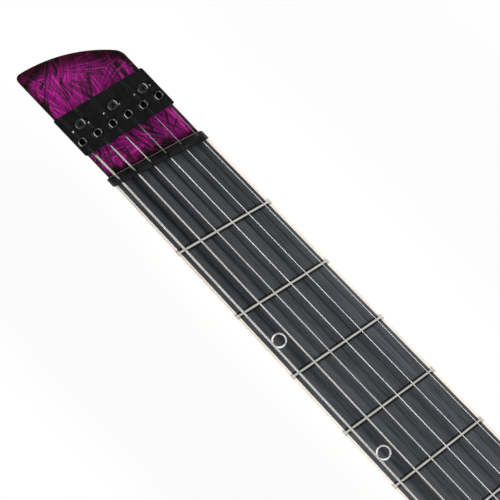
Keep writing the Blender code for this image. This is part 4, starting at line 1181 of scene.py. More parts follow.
def plain_wire(radius, marks):
    """A straight wire along X with a ring of vertices at every mark."""
    bm = bmesh.new()
    bmesh.ops.create_circle(bm, cap_ends=True, segments=PLAIN_SIDES, radius=radius)
    bmesh.ops.rotate(bm, verts=bm.verts, cent=(0, 0, 0), matrix=Matrix.Rotation(math.pi / 2, 3, "Y"))
    bm.faces.ensure_lookup_table()
    face = bm.faces[0]
    for near, far in zip(marks, marks[1:]):
        made = bmesh.ops.extrude_face_region(bm, geom=[face])["geom"]
        face = next(g for g in made if isinstance(g, bmesh.types.BMFace))
        bmesh.ops.translate(bm, verts=face.verts, vec=(far - near, 0, 0))
    return bm


def wound_wire(radius, length, pitch, sides=WOUND_SIDES):
    """One turn of a winding, doubled in length until it is longer than the string, then cut."""
    bm = bmesh.new()
    depth = pitch * 0.22
    places = ((0, radius - depth), (pitch / 2, radius), (pitch, radius - depth))
    chain = [bm.verts.new((x, 0, z)) for x, z in places]
    edges = [bm.edges.new(pair) for pair in zip(chain, chain[1:])]
    bmesh.ops.spin(
        bm, geom=chain + edges, cent=(0, 0, 0), axis=(1, 0, 0), dvec=(pitch / sides, 0, 0),
        angle=2 * math.pi, steps=sides, use_merge=False, use_duplicate=False,
    )
    reach = pitch
    while reach < length + 2 * pitch:
        copy = bmesh.ops.duplicate(bm, geom=bm.verts[:] + bm.edges[:] + bm.faces[:])["geom"]
        added = [g for g in copy if isinstance(g, bmesh.types.BMVert)]
        bmesh.ops.translate(bm, verts=added, vec=(reach, 0, 0))
        reach *= 2
    bmesh.ops.remove_doubles(bm, verts=bm.verts, dist=1e-6)
    for place, direction in ((pitch, -1), (length, 1)):
        geometry = bm.verts[:] + bm.edges[:] + bm.faces[:]
        bmesh.ops.bisect_plane(
            bm, geom=geometry, plane_co=(place, 0, 0), plane_no=(direction, 0, 0), clear_outer=True
        )
    open_edges = [e for e in bm.edges if e.is_boundary]
    bmesh.ops.holes_fill(bm, edges=open_edges, sides=0)
    return bm


def free_of_painted_slot_shade(spot, nut_painted_shade):
    """1 on open steel, and less where the wire lies in the slots of the nut and the lock: painted shade there."""
    behind_nut = fan_x(0, spot.y) - spot.x
    in_nut = min(behind_nut + 0.0002, NUT_LENGTH + 0.0002 - behind_nut, nut_painted_shade)
    ahead = spot.x - lock_x(LOCK_FRONT, spot.y)
    at_lock = min(0.0016 - ahead, ahead + 0.0012)
    clamped = min(-0.0024 - ahead, ahead + 0.0040)
    return 1 - max(in_nut, at_lock, clamped) / 0.0003


def make_string(number):
    route = string_route(number)
    radius = STRING_DIAMETERS[number - 1] / 2
    lengths = [(b - a).length for a, b in zip(route, route[1:])]
    total = sum(lengths)
    if number in WINDINGS:
        bm = wound_wire(radius, total, WINDINGS[number])
    else:
        marks = [sum(lengths[:i]) for i in range(len(lengths))]
        marks += [total - lengths[-1] * (1 - i / 12) for i in range(1, 13)]
        marks += [sum(lengths[:4]) + lengths[4] * i / 6 for i in range(1, 6)]
        marks += [sum(lengths[:3]) + lengths[3] * i / 80 for i in range(1, 80)]
        marks.append(sum(lengths[:4]) + 0.0005)
        bm = plain_wire(radius, sorted(marks))
    laid(bm, route)
    bmesh.ops.create_uvsphere(
        bm, u_segments=16, v_segments=10, radius=max(radius, 0.0005),
        matrix=Matrix.Translation(route[0] - Vector((0, 0, 0.0002))),
    )
    mesh = to_mesh(f"string_wire_{number}", bm, 60)
    # Behind the nut the steel is drawn dimmer, and in the slot of the nut darker over this reach: painted shade.
    painted_dimming, nut_painted_shade = (0.85, 0.00014) if number in WINDINGS else (0.35, 0.0003)

    def polish_and_painted_light(spot, up):
        # Lighter where the wire faces up and darker on its flanks: a painted highlight and painted shade.
        crown = 0.25 + 0.75 * smooth_step(up, 0.5, 0.95)
        return min(free_of_painted_slot_shade(spot, nut_painted_shade), 1) * crown * (painted_dimming if spot.x < fan_x(0, spot.y) else 1)

    store_polish_and_painted_light(mesh, polish_and_painted_light)
    steel = "wound_steel" if number in WINDINGS else "string_steel"
    item = finished(f"string_wire_{number}", mesh, steel, None, [f"string_{number}"])
    run = route[-1] - route[-2]
    start, end = route[-2] + run * 0.10, route[-2] + run * 0.86
    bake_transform(item)
    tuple(start)
    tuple(end)
    return len(mesh.polygons)


for number in NUMBERS:
    print("string", number, "faces:", make_string(number))

# %% [markdown]
# ## More helpers for the body's fittings
# The fittings need a few more shapes: a slab with rounded corners, a profile extruded across,
# a smooth closed curve, a countersunk cross head screw, and copies of one mesh in many places.


# %% Fitting helpers
def pad(spot, size, turn, corner, low, high, rim=0.0, rim_at=None):
    """A slab whose corners and, if asked, one rim are rounded, turned in plan."""
    bm = box((-size[0] / 2, -size[1] / 2, low), (size[0] / 2, size[1] / 2, high))
    if corner:
        eased(bm, upright(bm), corner, 6)
    if rim:
        level = high if rim_at is None else rim_at
        eased(bm, at_height(bm, level), rim, 4)
        flat = [f for f in bm.faces if all(abs(v.co.z - level) < 1e-6 for v in f.verts)]
        bmesh.ops.inset_region(bm, faces=flat, thickness=0.0002)
    place = Matrix.Translation((spot[0], spot[1], 0)) @ Matrix.Rotation(turn, 4, "Z")
    bmesh.ops.transform(bm, verts=bm.verts, matrix=place)
    return bm


def side_slab(profile, low, high):
    """A profile in the plane of X and Z, extruded across from one y to another."""
    bm = bmesh.new()
    face = face_from(bm, [(x, low, z) for x, z in profile])
    made = bmesh.ops.extrude_face_region(bm, geom=[face])["geom"]
    far = [g for g in made if isinstance(g, bmesh.types.BMVert)]
    bmesh.ops.translate(bm, verts=far, vec=(0, high - low, 0))
    return bm


def smooth_loop(points, steps):
    """A closed smooth curve through the points."""
    outline = []
    count = len(points)
    for i in range(count):
        a, b, c, d = (Vector(points[(i + k) % count]) for k in (-1, 0, 1, 2))
        for k in range(steps):
            t = k / steps
            outline.append(b + 0.5 * t * (c - a + t * (2 * a - 5 * b + 4 * c - d + t * (3 * (b - c) + d - a))))
    return outline


def rod(spot, axis, radius, low, high, steps=32):
    return moved(turned(((0, low), (radius, low), (radius, high), (0, high)), steps), spot, axis)


def copies(mesh, places):
    """One bmesh with a copy of the mesh for every matrix."""
    parts = []
    for place in places:
        part = bmesh.new()
        part.from_mesh(mesh)
        bmesh.ops.transform(part, verts=part.verts, matrix=place)
        parts.append(part)
    return merged(parts)


def cross_screw(radius, dome, length=0.004):
    """A countersunk screw with a cross recess. Its rim is at z = 0 and its dome above."""
    profile = [(0, -length), (radius * 0.45, -length), (radius * 0.45, -radius * 0.6), (radius, -0.00015), (radius, 0)]
    for i in range(1, 7):
        angle = math.radians(15 * i)
        profile.append((radius * math.cos(angle) ** 0.8, dome * math.sin(angle)))
    profile[-1] = (0, dome)
    mesh = to_mesh("screw", turned(profile, 36), 25)
    mesh.transform(Matrix.Translation((0, 0, -dome)))
    mesh = cut(mesh, *cross_tool(radius * 0.62, radius * 0.26, radius * 0.5))
    mesh.transform(Matrix.Translation((0, 0, dome)))
    return mesh


def facing(spot, axis=(0, 0, 1), spin=0.0):
    """The place of a screw: where, facing which way, and how far it was turned."""
    turn = Vector((0, 0, 1)).rotation_difference(Vector(axis)).to_matrix().to_4x4()
    return Matrix.Translation(spot) @ turn @ Matrix.Rotation(spin, 4, "Z")


print("fitting helpers are ready")

# %% [markdown]
# ## The neck
# Maple, rounded for the hand and boxy at the head and the heel. Each cross-section is a
# superellipse: a small power gives the round back and a high one the box. The sections are
# skinned, and the far end is trimmed to the plan of the head.

# %% Neck
HEEL_START, HEEL_END, HEEL_BOTTOM = -0.238, -0.158, 0.0238
NECK_DEPTH_NUT, NECK_DEPTH_12, HEAD_DEPTH = 0.0140, 0.0158, 0.0125
NUT_SHELF = 0.0044


def half_width(x):
    return spread((x - NUT_X) / MEAN_SCALE) / 2 + BOARD_MARGIN


def neck_ring(x, steps=44):
    head = 1 - smooth_step(x, NUT_X - 0.010, NUT_X + 0.022)
    heel = smooth_step(x, HEEL_START - 0.022, HEEL_START)
    along = (x - NUT_X) / (MEAN_SCALE / 2)
    depth = NECK_DEPTH_NUT + along * (NECK_DEPTH_12 - NECK_DEPTH_NUT)
    depth += head * (HEAD_DEPTH - depth) + heel * (NECK_TOP - HEEL_BOTTOM - depth)
    power = 2.3 + 9 * max(head, heel)
    half = half_width(x) + 0.003 * (1 if x < NUT_X - 0.012 else 0)
    ring = []
    for i in range(steps + 1):
        angle = math.pi * i / steps
        across = math.copysign(abs(math.cos(angle)) ** (2 / power), math.cos(angle))
        ring.append((x, NECK_OFFSET + half * across, NECK_TOP - depth * math.sin(angle) ** (2 / power)))
    return ring


stations = [NUT_X - 0.0760, NUT_X - 0.0125, NUT_X - 0.0119]
stations += [NUT_X - 0.010 + 0.004 * i for i in range(9)]
stations += [NUT_X + 0.05 * i for i in range(1, 8)]
stations += [HEEL_START - 0.022 + 0.002 * i for i in range(12)] + [HEEL_END]
neck = to_mesh("neck_shaft", lofted([neck_ring(x) for x in stations]))
wide, past = 0.04, HEEL_END + 0.01
rear = [(fan_x(0, HEAD_TREBLE_Y) - NUT_SHELF, HEAD_TREBLE_Y), (fan_x(0, wide) - NUT_SHELF, wide), (past, wide)]
rear += [(past, -wide), (fan_x(0, -wide) - NUT_SHELF, -wide), (fan_x(0, HEAD_BASS_Y) - NUT_SHELF, HEAD_BASS_Y)]
neck = cut(neck, head_slab(rear, 0.0, 0.1), operation="INTERSECT", sharp=40)
machined(finished("neck_shaft", neck, "neck_wood", nodes=["neck"]), 0.0006, 3)

ROD_FLOOR, WHEEL_Z = 0.0338, 0.0385
bar = box((NUT_X + 0.014, -0.003, ROD_FLOOR), (HEEL_END - 0.002, 0.003, NECK_TOP - 0.0003))
wheel = to_mesh("wheel", rod((HEEL_END + 0.0035, 0, WHEEL_Z), (1, 0, 0), 0.0032, -0.006, 0.003, 40))
holes = []
for i in range(4):
    swing = math.radians(45 * i)
    holes.append(rod((HEEL_END + 0.0045, 0, WHEEL_Z), (0, math.cos(swing), math.sin(swing)), 0.0006, -0.004, 0.004, 12))
wheel = cut(wheel, *holes)
parts = bmesh.new()
parts.from_mesh(wheel)
truss = to_mesh("truss_bar", merged([bar, parts]))
finished("truss_bar", truss, "bare_steel", nodes=["truss_rod"])

dots = []
for number, count in MARKED.items():
    t = (fret_share(number - 1) + fret_share(number)) / 2
    y = board_edge(t, -1)
    for k in range(count):
        x = fan_x(t, y) + 0.006 * (k - (count - 1) / 2)
        dots.append(rod((x, y, 0.0462), (0, -1, 0), 0.0009, -0.0005, 0.00005, 24))
finished("side_dots", to_mesh("side_dots", merged(dots)), "black_composite")
print("neck:", len(neck.polygons), "faces")

# %% [markdown]
# ## The body
# A slab sawn to a smooth outline, with both rims rounded, a flat bevel where the forearm rests
# and a hollow for the ribs at the back. Then everything is milled that is let into it: neck
# pocket, pickup cavities, control cavity with its ledge, shaft holes and jack seat. Tools that
# don't touch one another are joined, so three Boolean cuts are enough. At the end the surface
# is cut into a grid, and each vertex stores its distance from the outline for the dark rim.

# %% Body
BODY_OUTLINE = (
    (-0.200, 0.031), (-0.187, 0.045), (-0.204, 0.068), (-0.240, 0.091),
    (-0.246, 0.106), (-0.222, 0.122), (-0.165, 0.127), (-0.095, 0.109),
    (-0.030, 0.124), (0.045, 0.154), (0.096, 0.140), (0.104, 0.100),
    (0.078, 0.048), (0.068, 0.000), (0.080, -0.048), (0.110, -0.096),
    (0.103, -0.142), (0.045, -0.164), (-0.040, -0.140), (-0.105, -0.122),
    (-0.190, -0.138), (-0.280, -0.131), (-0.304, -0.110), (-0.278, -0.086),
    (-0.224, -0.062), (-0.207, -0.043), (-0.214, -0.030),
)
EDGE_RADIUS = 0.006
BODY_BURST = 0.024
FOREARM_POINT, FOREARM_NORMAL = (-0.060, -0.118, BODY_TOP), (0.08, -0.42, 1.35)
CONTROL_CENTRE, CONTROL_SIZE, CONTROL_ANGLE = (0.008, 0.0915), (0.128, 0.044), math.radians(11)
CONTROL_RIM, CONTROL_ROOF = 0.005, 0.0345
SWITCH_ALONG, VOLUME_ALONG, TONE_ALONG = -0.048, 0.0, 0.046
COVER_THICKNESS, GAP = 0.0022, 0.0003
PICKUP_SIZE, PICKUP_TOP, PICKUP_BOTTOM = (0.038, 0.074), 0.0490, 0.0290
PICKUP_PLACES = {"neck": 0.808, "bridge": 0.930}
PLATE_CENTRE, PLATE_SIZE = (-0.1755, 0), (0.034, 0.042)
JACK = Vector((0.046, 0, 0.0210))
JACK_FACE, JACK_PLATE = 0.1535, 0.0030
STRAP_PEGS = {"horn": ((-0.3022, -0.110, 0.021), (-1, 0, 0)), "tail": ((0.1095, -0.104, 0.021), (1, 0, 0))}


def control_spot(along):
    """A place on the line of the controls."""
    return (
        CONTROL_CENTRE[0] + along * math.cos(CONTROL_ANGLE),
        CONTROL_CENTRE[1] + along * math.sin(CONTROL_ANGLE),
    )


def pickup_pad(name, grow, corner, low, high, rim=0.0):
    t = PICKUP_PLACES[name]
    size = [side + 2 * grow for side in PICKUP_SIZE]
    return pad((fan_x(t, 0), 0), size, fan_angle(t), corner, low, high, rim)


def grown(size, by):
    return size[0] + 2 * by, size[1] + 2 * by


def ball(radius, spot, stretch=(1, 1, 1), turn=0.0):
    bm = bmesh.new()
    bmesh.ops.create_uvsphere(bm, u_segments=128, v_segments=80, radius=radius)
    bmesh.ops.scale(bm, verts=bm.verts, vec=stretch)
    bmesh.ops.transform(bm, verts=bm.verts, matrix=Matrix.Translation(spot) @ Matrix.Rotation(turn, 4, "Z"))
    return bm


bm = bmesh.new()
blank = face_from(bm, [(spot.x, spot.y, 0) for spot in smooth_loop(BODY_OUTLINE, 12)])
raised(bm, blank, BODY_TOP)
for height in (0.0, BODY_TOP):
    bmesh.ops.bevel(
        bm, geom=at_height(bm, height), offset=EDGE_RADIUS, segments=8,
        profile=0.5, affect="EDGES", material=-1,
    )
geometry = bm.verts[:] + bm.edges[:] + bm.faces[:]
slope = Vector(FOREARM_NORMAL).normalized()
opened = bmesh.ops.bisect_plane(bm, geom=geometry, plane_co=FOREARM_POINT, plane_no=slope, clear_outer=True)
rim_edges = [g for g in opened["geom_cut"] if isinstance(g, bmesh.types.BMEdge)]
bmesh.ops.contextual_create(bm, geom=rim_edges)

pocket_end, open_end = HEEL_END + GAP, -0.30
plan = [(open_end, -half_width(open_end)), (pocket_end, -half_width(HEEL_END))]
plan += [(pocket_end, half_width(HEEL_END)), (open_end, half_width(open_end))]
pocket = bmesh.new()
raised(pocket, face_from(pocket, [(x, NECK_OFFSET + y + math.copysign(GAP, y), 0.0235) for x, y in plan]), 0.06)
first = [pocket, pad(CONTROL_CENTRE, CONTROL_SIZE, CONTROL_ANGLE, 0.012, -0.01, CONTROL_ROOF)]
first += [pickup_pad(name, GAP, 0.004, 0.020, 0.08) for name in PICKUP_PLACES]
second = [
    box((HEEL_END - 0.002, -0.006, 0.033), (HEEL_END + 0.009, 0.006, 0.08)),
    pad(CONTROL_CENTRE, grown(CONTROL_SIZE, CONTROL_RIM), CONTROL_ANGLE, 0.016, -0.01, COVER_THICKNESS + 2 * GAP),
    pad(PLATE_CENTRE, grown(PLATE_SIZE, GAP), 0, 0.006, -0.01, COVER_THICKNESS + 2 * GAP),
    rod(JACK, (0, 1, 0), 0.0125 + GAP, JACK_FACE - JACK_PLATE, 0.17, 48),
    ball(1, (0.0749, 0, BODY_TOP + 0.030), (0.042, 0.072, 0.042), fan_angle(1)),
]
second += [rod(spot, axis, 0.0072, 0, 0.03, 40) for spot, axis in STRAP_PEGS.values()]
third = [rod(JACK, (0, 1, 0), 0.0095, 0.100, 0.17, 40), ball(0.220, (-0.075, -0.190, -0.195))]
for along, radius in ((SWITCH_ALONG, 0.0059), (VOLUME_ALONG, 0.0040), (TONE_ALONG, 0.0040)):
    third.append(rod((*control_spot(along), 0), (0, 0, 1), radius, 0.03, 0.05))
body = cut(to_mesh("body_shell", bm, 14), merged(first), merged(second), merged(third))
bm = bmesh.new()
bm.from_mesh(body)
gridded(bm, 0.008)
body = to_mesh("body_shell", bm, 14)
shore = smooth_loop(BODY_OUTLINE, 40)
tree = KDTree(len(shore))
for index, spot in enumerate(shore):
    tree.insert((spot.x, spot.y, 0), index)
tree.balance()
store_rim(body, BODY_BURST, lambda spot: tree.find((spot.x, spot.y, 0))[2])
finished("body_shell", body, "streaked_finish", nodes=["body"])
print("body:", len(body.polygons), "faces")

# %% [markdown]
# ## Plates and covers
# The neck is bolted on through a steel plate, and the control cavity is closed by a plastic
# cover. Both are let into the back, so their screws are countersunk and lie a little below the
# surface. Each seat is a cone cut out of the plate.

# %% Plates and covers
BOLTS = ((-0.187, -0.015), (-0.187, 0.015), (-0.165, -0.015), (-0.165, 0.015))


def seat(spot, radius, axis=(0, 0, -1)):
    """A cone that sinks a screw of this radius."""
    profile = ((0, -radius), (radius * 0.5, -radius * 0.62), (radius + 0.0002, 0), (radius + 0.0002, 0.002), (0, 0.002))
    return moved(turned(profile, 40), spot, axis)


def plate(name, finish, node, spot, size, turn, corner, screws, radius):
    """A plate let into the back with its countersunk screws."""
    bm = pad(spot, size, turn, corner, GAP, GAP + COVER_THICKNESS, 0.0004, GAP)
    mesh = cut(to_mesh(name, bm), merged([seat((x, y, GAP), radius) for x, y in screws]))
    finished(name, mesh, finish, nodes=[node])
    head = cross_screw(radius, 0.0002, COVER_THICKNESS)
    places = [facing((x, y, GAP + 0.0003), (0, 0, -1), 0.7 * i) for i, (x, y) in enumerate(screws)]
    finished(f"{name}_screws", to_mesh(f"{name}_screws", copies(head, places), 25), "screw_metal")


plate("heel_plate_face", "black_metal", "heel_plate", PLATE_CENTRE, PLATE_SIZE, 0, 0.006, BOLTS, 0.0042)
turn = Matrix.Rotation(CONTROL_ANGLE, 2)
corners = []
for across, along in ((-1, -1), (0, -1), (1, -1), (1, 1), (0, 1), (-1, 1)):
    spot = Vector(CONTROL_CENTRE) + turn @ Vector((across * 0.0600, along * 0.0238))
    corners.append((spot.x, spot.y))
size = grown(CONTROL_SIZE, CONTROL_RIM - GAP)
plate("control_cover_face", "black_plastic", "control_cover", CONTROL_CENTRE, size, CONTROL_ANGLE, 0.016, corners, 0.0026)
print("plates: 2 with", len(BOLTS) + len(corners), "screws")

# %% [markdown]
# ## Pickups
# Each pickup is a closed black cover, open below, over two coils. Twelve poles come through the
# top on the lines of the strings: slotted screws over one coil and smooth slugs over the other.
# The poles stand on the fan line, so each is placed from the string plan.

# %% Pickups
COIL_APART = 0.0176


def slotted_pole():
    profile = ((0, -0.002), (0.0022, -0.002), (0.0022, 0.0001), (0.00195, 0.00035), (0, 0.00042))
    mesh = to_mesh("pole", turned(profile, 32), 25)
    return cut(mesh, box((-0.003, -0.00025, -0.0004), (0.003, 0.00025, 0.001)))


pole = slotted_pole()
slug = to_mesh("slug", turned(((0, -0.002), (0.0024, -0.002), (0.0024, 0.0), (0.0022, 0.0001), (0, 0.00012)), 32), 25)
small_screw = cross_screw(0.0019, 0.0003)
for name, t in PICKUP_PLACES.items():
    cover = to_mesh(f"pickup_shell_{name}", pickup_pad(name, 0, 0.0036, PICKUP_BOTTOM, PICKUP_TOP, 0.0012))
    cover = cut(cover, pickup_pad(name, -0.0012, 0.0024, PICKUP_BOTTOM - 0.001, PICKUP_TOP - 0.0012))
    turn = Matrix.Rotation(fan_angle(t), 2)
    ends = [Vector((fan_x(t, 0), 0)) + turn @ Vector((0, side * 0.0338)) for side in (-1, 1)]
    cover = cut(cover, merged([seat((spot.x, spot.y, PICKUP_TOP), 0.0019, (0, 0, 1)) for spot in ends]))
    finished(f"pickup_shell_{name}", cover, "pickup_plastic", nodes=[f"pickup_cover_{name}"])
    parts = [copies(small_screw, [facing((spot.x, spot.y, PICKUP_TOP - 0.0002)) for spot in ends])]
    for mesh, side in ((pole, 0.5), (slug, -0.5)):
        places = []
        for number in NUMBERS:
            y = share_of(number) * spread(t)
            shift = turn @ Vector((side * COIL_APART, 0))
            places.append(facing((fan_x(t, y) + shift.x, y + shift.y, PICKUP_TOP), spin=0.5 * number))
        parts.append(copies(mesh, places))
    finished(f"pickup_poles_{name}", to_mesh(f"pickup_poles_{name}", merged(parts), 25), "screw_metal")
print("pickups:", len(PICKUP_PLACES))

# %% [markdown]
# ## The tuning bridge
# This is the feature that takes the most skill. Each string has its own unit: a channel milled
# from the solid, a saddle with a grooved crest, and a carriage that holds the ball of the string.
# A long screw with a fluted knob draws the carriage back, 0.8 mm a turn, and that tunes the
# string. The thread is real: one turn of its profile, doubled until it is long enough.

# %% Bridge units
UNIT_WIDTH, UNIT_FRONT, UNIT_REAR, UNIT_WALL, UNIT_FOOT, UNIT_FLOOR = 0.0100, -0.0140, 0.0445, 0.0012, 0.0004, 0.0020
THRUST_WALL, SCREW_Z, SCREW_RADIUS, SCREW_TIP, SCREW_PITCH = 0.0045, 0.0480, 0.0019, 0.0245, 0.0008
CARRIAGE_FRONT, CARRIAGE_REAR, CARRIAGE_TOP, POCKET = 0.0140, 0.0300, 0.0512, (0.0160, 0.0205)
KNOB_RADIUS, KNOB_LENGTH, KNOB_GROOVES, GROOVE_DEPTH = 0.0047, 0.0130, 10, 0.0004
CHANNEL_FLOOR = UNIT_FOOT + UNIT_FLOOR
AXIS_Z = SCREW_Z - BODY_TOP


def unit_base():
    half = UNIT_WIDTH / 2
    profile = [(UNIT_FRONT, 0), (UNIT_REAR, 0), (UNIT_REAR, 0.0096), (UNIT_REAR - 0.0010, 0.0106)]
    for i in range(9):
        t = i / 8
        profile.append((0.0060 - 0.0165 * t, 0.0092 - 0.0062 * smooth_step(t, 0, 1)))
    profile.append((UNIT_FRONT, 0.0030))
    mesh = to_mesh("base", side_slab([(x, z + UNIT_FOOT) for x, z in profile], -half, half), 25)
    inner = half - UNIT_WALL
    hollow = box((UNIT_FRONT + 0.006, -inner, CHANNEL_FLOOR), (UNIT_REAR - THRUST_WALL, inner, 0.02))
    bore = rod((0, 0, AXIS_Z), (1, 0, 0), SCREW_RADIUS + GAP, 0.03, 0.05)
    foot = seat((-0.0110, 0, 0.0030 + UNIT_FOOT), 0.0021, (0, 0, 1))
    return cut(mesh, hollow, bore, foot)


def unit_saddle(number, string_z):
    half = UNIT_WIDTH / 2 - UNIT_WALL - GAP
    low, crest = CHANNEL_FLOOR + GAP, string_z + 0.0008
    profile = [(-0.0070, low), (0.0055, low), (0.0055, crest - 0.0040)]
    for i in range(9):
        swing = math.radians(65 - 130 * i / 8)
        profile.append((-0.0002 + 0.0024 * math.sin(swing), crest - 0.0024 * (1 - math.cos(swing))))
    profile += [(-0.0060, crest - 0.0050), (-0.0070, crest - 0.0062)]
    mesh = to_mesh("saddle", side_slab(profile, -half, half), 25)
    floor, back = string_z - 0.0001, 0.009
    groove = [(-back, floor - 0.0020), (-0.0008, floor), (0.0004, floor), (back, floor - back * 0.42)]
    wide = STRING_DIAMETERS[number - 1] / 2 + 0.0002
    tools = [side_slab(groove + [(back, 0.03), (-back, 0.03)], -wide, wide)]
    for side in (-1, 1):
        hole = moved(hexagon(0.00055, -0.0016, 0.001), (-0.0040, side * 0.0023, crest - 0.0033))
        tools.append(hole)
    return cut(mesh, *tools)


def unit_carriage():
    half = UNIT_WIDTH / 2 - UNIT_WALL - GAP
    low, top, z = CHANNEL_FLOOR + GAP, CARRIAGE_TOP - BODY_TOP, BALL_Z - BODY_TOP
    front, rear = CARRIAGE_FRONT, CARRIAGE_REAR
    profile = (
        (front, low), (rear, low), (rear, top - 0.0015), (rear - 0.0015, top),
        (front + 0.0025, top), (front, top - 0.0020),
    )
    return cut(
        to_mesh("carriage", side_slab(profile, -half, half)),
        box((POCKET[0], -0.0023, z - 0.0029), (POCKET[1], 0.0023, 0.02)),
        box((front - 0.002, -0.0010, z - 0.0008), (POCKET[0] + 0.001, 0.0010, 0.02)),
        rod((0, 0, AXIS_Z), (1, 0, 0), SCREW_RADIUS + 0.0001, POCKET[1] - 0.001, 0.04),
    )


def ball_end(radius, fall):
    """The brass barrel that the string is looped round, and the twist of its end."""
    profile = ((0, -0.0018), (0.0015, -0.0018), (0.0018, -0.0015), (0.0012, -0.0006), (0.0012, 0.0006))
    profile += ((0.0018, 0.0015), (0.0015, 0.0018), (0, 0.0018))
    barrel = moved(turned(profile, 28), (0.0181, 0, BALL_Z - BODY_TOP), (0, 1, 0))
    twist = wound_wire(radius + 0.0002, 0.0060, 0.0005, 12)
    run = Vector((1, 0, fall)).normalized()
    end = Vector((BALL_X, 0, BALL_Z - BODY_TOP))
    turn = Vector((1, 0, 0)).rotation_difference(run).to_matrix().to_4x4()
    bmesh.ops.transform(twist, verts=twist.verts, matrix=Matrix.Translation(end - run * 0.0060) @ turn)
    return merged([barrel, twist])


def knob_ring(x, radius, depth, steps=60):
    """One ring of the fluted knob, round its axis along X."""
    ring = []
    for i in range(steps):
        angle = 2 * math.pi * i / steps
        flute = max(0.0, math.cos(KNOB_GROOVES * angle)) ** 0.7
        reach = radius - depth * flute
        ring.append((x, reach * math.cos(angle), reach * math.sin(angle)))
    return ring


def tuner_knob():
    start = UNIT_REAR + GAP
    end = start + KNOB_LENGTH
    neck, depth = KNOB_RADIUS * 0.75, 0.0007
    stages = (
        (start, 0.0030, 0), (start, neck, 0), (start + 0.0014, neck, 0), (start + 0.0020, KNOB_RADIUS * 0.94, 0),
        (start + 0.0026, KNOB_RADIUS, 0), (start + 0.0034, KNOB_RADIUS, 0), (start + 0.0040, KNOB_RADIUS, depth),
        (end - 0.0022, KNOB_RADIUS, depth), (end - 0.0016, KNOB_RADIUS, 0.0001), (end - 0.0009, KNOB_RADIUS, 0),
        (end - 0.0003, KNOB_RADIUS * 0.90, 0), (end, KNOB_RADIUS * 0.78, 0),
    )
    knob = to_mesh("knob", lofted([knob_ring(*stage) for stage in stages]), 30)
    dish = moved(turned(((0, -0.0009), (0.0022, -0.0009), (0.0028, 0.0003), (0, 0.0003)), 40), (end, 0, 0), (1, 0, 0))
    knob = cut(knob, dish)
    screw = wound_wire(SCREW_RADIUS, start - SCREW_TIP + SCREW_PITCH, SCREW_PITCH, 16)
    bmesh.ops.translate(screw, verts=screw.verts, vec=(SCREW_TIP - SCREW_PITCH, 0, 0))
    whole = bmesh.new()
    whole.from_mesh(knob)
    return to_mesh("knob", merged([whole, screw]), 30)


base, carriage, knob = unit_base(), unit_carriage(), tuner_knob()
screw_head = cross_screw(0.0020, 0.0005, 0.003)
for number in NUMBERS:
    y = share_of(number) * SADDLE_SPREAD
    x = fan_x(1, y)
    spot = Vector((x, y, BODY_TOP))
    height = saddle_string_z(y) - BODY_TOP
    radius = STRING_DIAMETERS[number - 1] / 2
    saddle = unit_saddle(number, height)
    parts = (
        ("base", base.copy(), "black_metal", "root", f"bridge_base_{number}"),
        ("saddle", saddle, "black_metal", "root", f"saddle_{number}"),
        ("carriage", carriage.copy(), "black_metal", f"carriage_{number}", f"string_carriage_{number}"),
    )
    for label, mesh, finish, rides, node in parts:
        mesh.transform(Matrix.Translation(spot))
        machined(finished(f"unit_{label}_{number}", mesh, finish, rides, [node]), 0.0002)
    turner = knob.copy()
    turner.transform(Matrix.Translation((x, y, SCREW_Z)))
    finished(f"unit_knob_{number}", turner, "knob_metal", f"tuner_{number}", [f"tuner_knob_{number}"])
    fall = (BALL_Z - BODY_TOP - height - radius) / BALL_X
    bm = ball_end(radius, fall)
    bmesh.ops.translate(bm, verts=bm.verts, vec=spot)
    finished(f"ball_end_{number}", to_mesh(f"ball_end_{number}", bm, 40), "brass", f"carriage_{number}")
    heads = [facing(spot + Vector((-0.0110, 0, 0.0030 + UNIT_FOOT - 0.0001)), spin=0.4 * number)]
    heads.append(facing(spot + Vector((0.0077, 0, CHANNEL_FLOOR + 0.0006)), spin=0.9 * number))
    finished(f"unit_screws_{number}", to_mesh(f"unit_screws_{number}", copies(screw_head, heads), 25), "screw_metal")
print("bridge units:", STRING_COUNT, "knob faces:", len(knob.polygons))

# %% [markdown]
# ## Knobs and switch
# The volume and tone knobs are turned caps with a knurled side, and each has a white line on
# top, so that its turning shows. The switch is a threaded bush with a round nut, and a lever
# whose plastic tip is a separate cap. The knobs ride their pots and the lever rides the switch.

# %% Knobs and switch
RIDGES = 48


def cap_ring(z, radius, depth):
    ring = []
    for i in range(RIDGES * 3):
        angle = 2 * math.pi * i / (RIDGES * 3)
        reach = radius - depth * (i % 3 == 0)
        ring.append((reach * math.cos(angle), reach * math.sin(angle), z))
    return ring


stages = (
    (0.0424, 0.0086, 0), (0.0424, 0.0088, 0), (0.0427, 0.0090, 0), (0.0436, 0.00895, 0), (0.0439, 0.0089, 0.00035),
    (0.0525, 0.0082, 0.00035), (0.0529, 0.0081, 0), (0.0537, 0.0080, 0), (0.0542, 0.0076, 0), (0.0545, 0.0071, 0),
    (0.0545, 0.0060, 0), (0.0542, 0.0056, 0),
)
cap = to_mesh("cap", lofted([cap_ring(*stage) for stage in stages]), 30)
line = to_mesh("line", pad((0.0040, 0), (0.0052, 0.0008), 0, 0.0003, 0.0538, 0.0544))
for name, along in (("volume", VOLUME_ALONG), ("tone", TONE_ALONG)):
    place = Matrix.Translation((*control_spot(along), 0)) @ Matrix.Rotation(math.radians(100), 4, "Z")
    for label, mesh, finish, nodes in (("cap", cap, "knob_metal", [f"{name}_knob"]), ("line", line, "ring_inlay", ())):
        mesh = mesh.copy()
        mesh.transform(place)
        finished(f"{name}_{label}", mesh, finish, name, nodes)

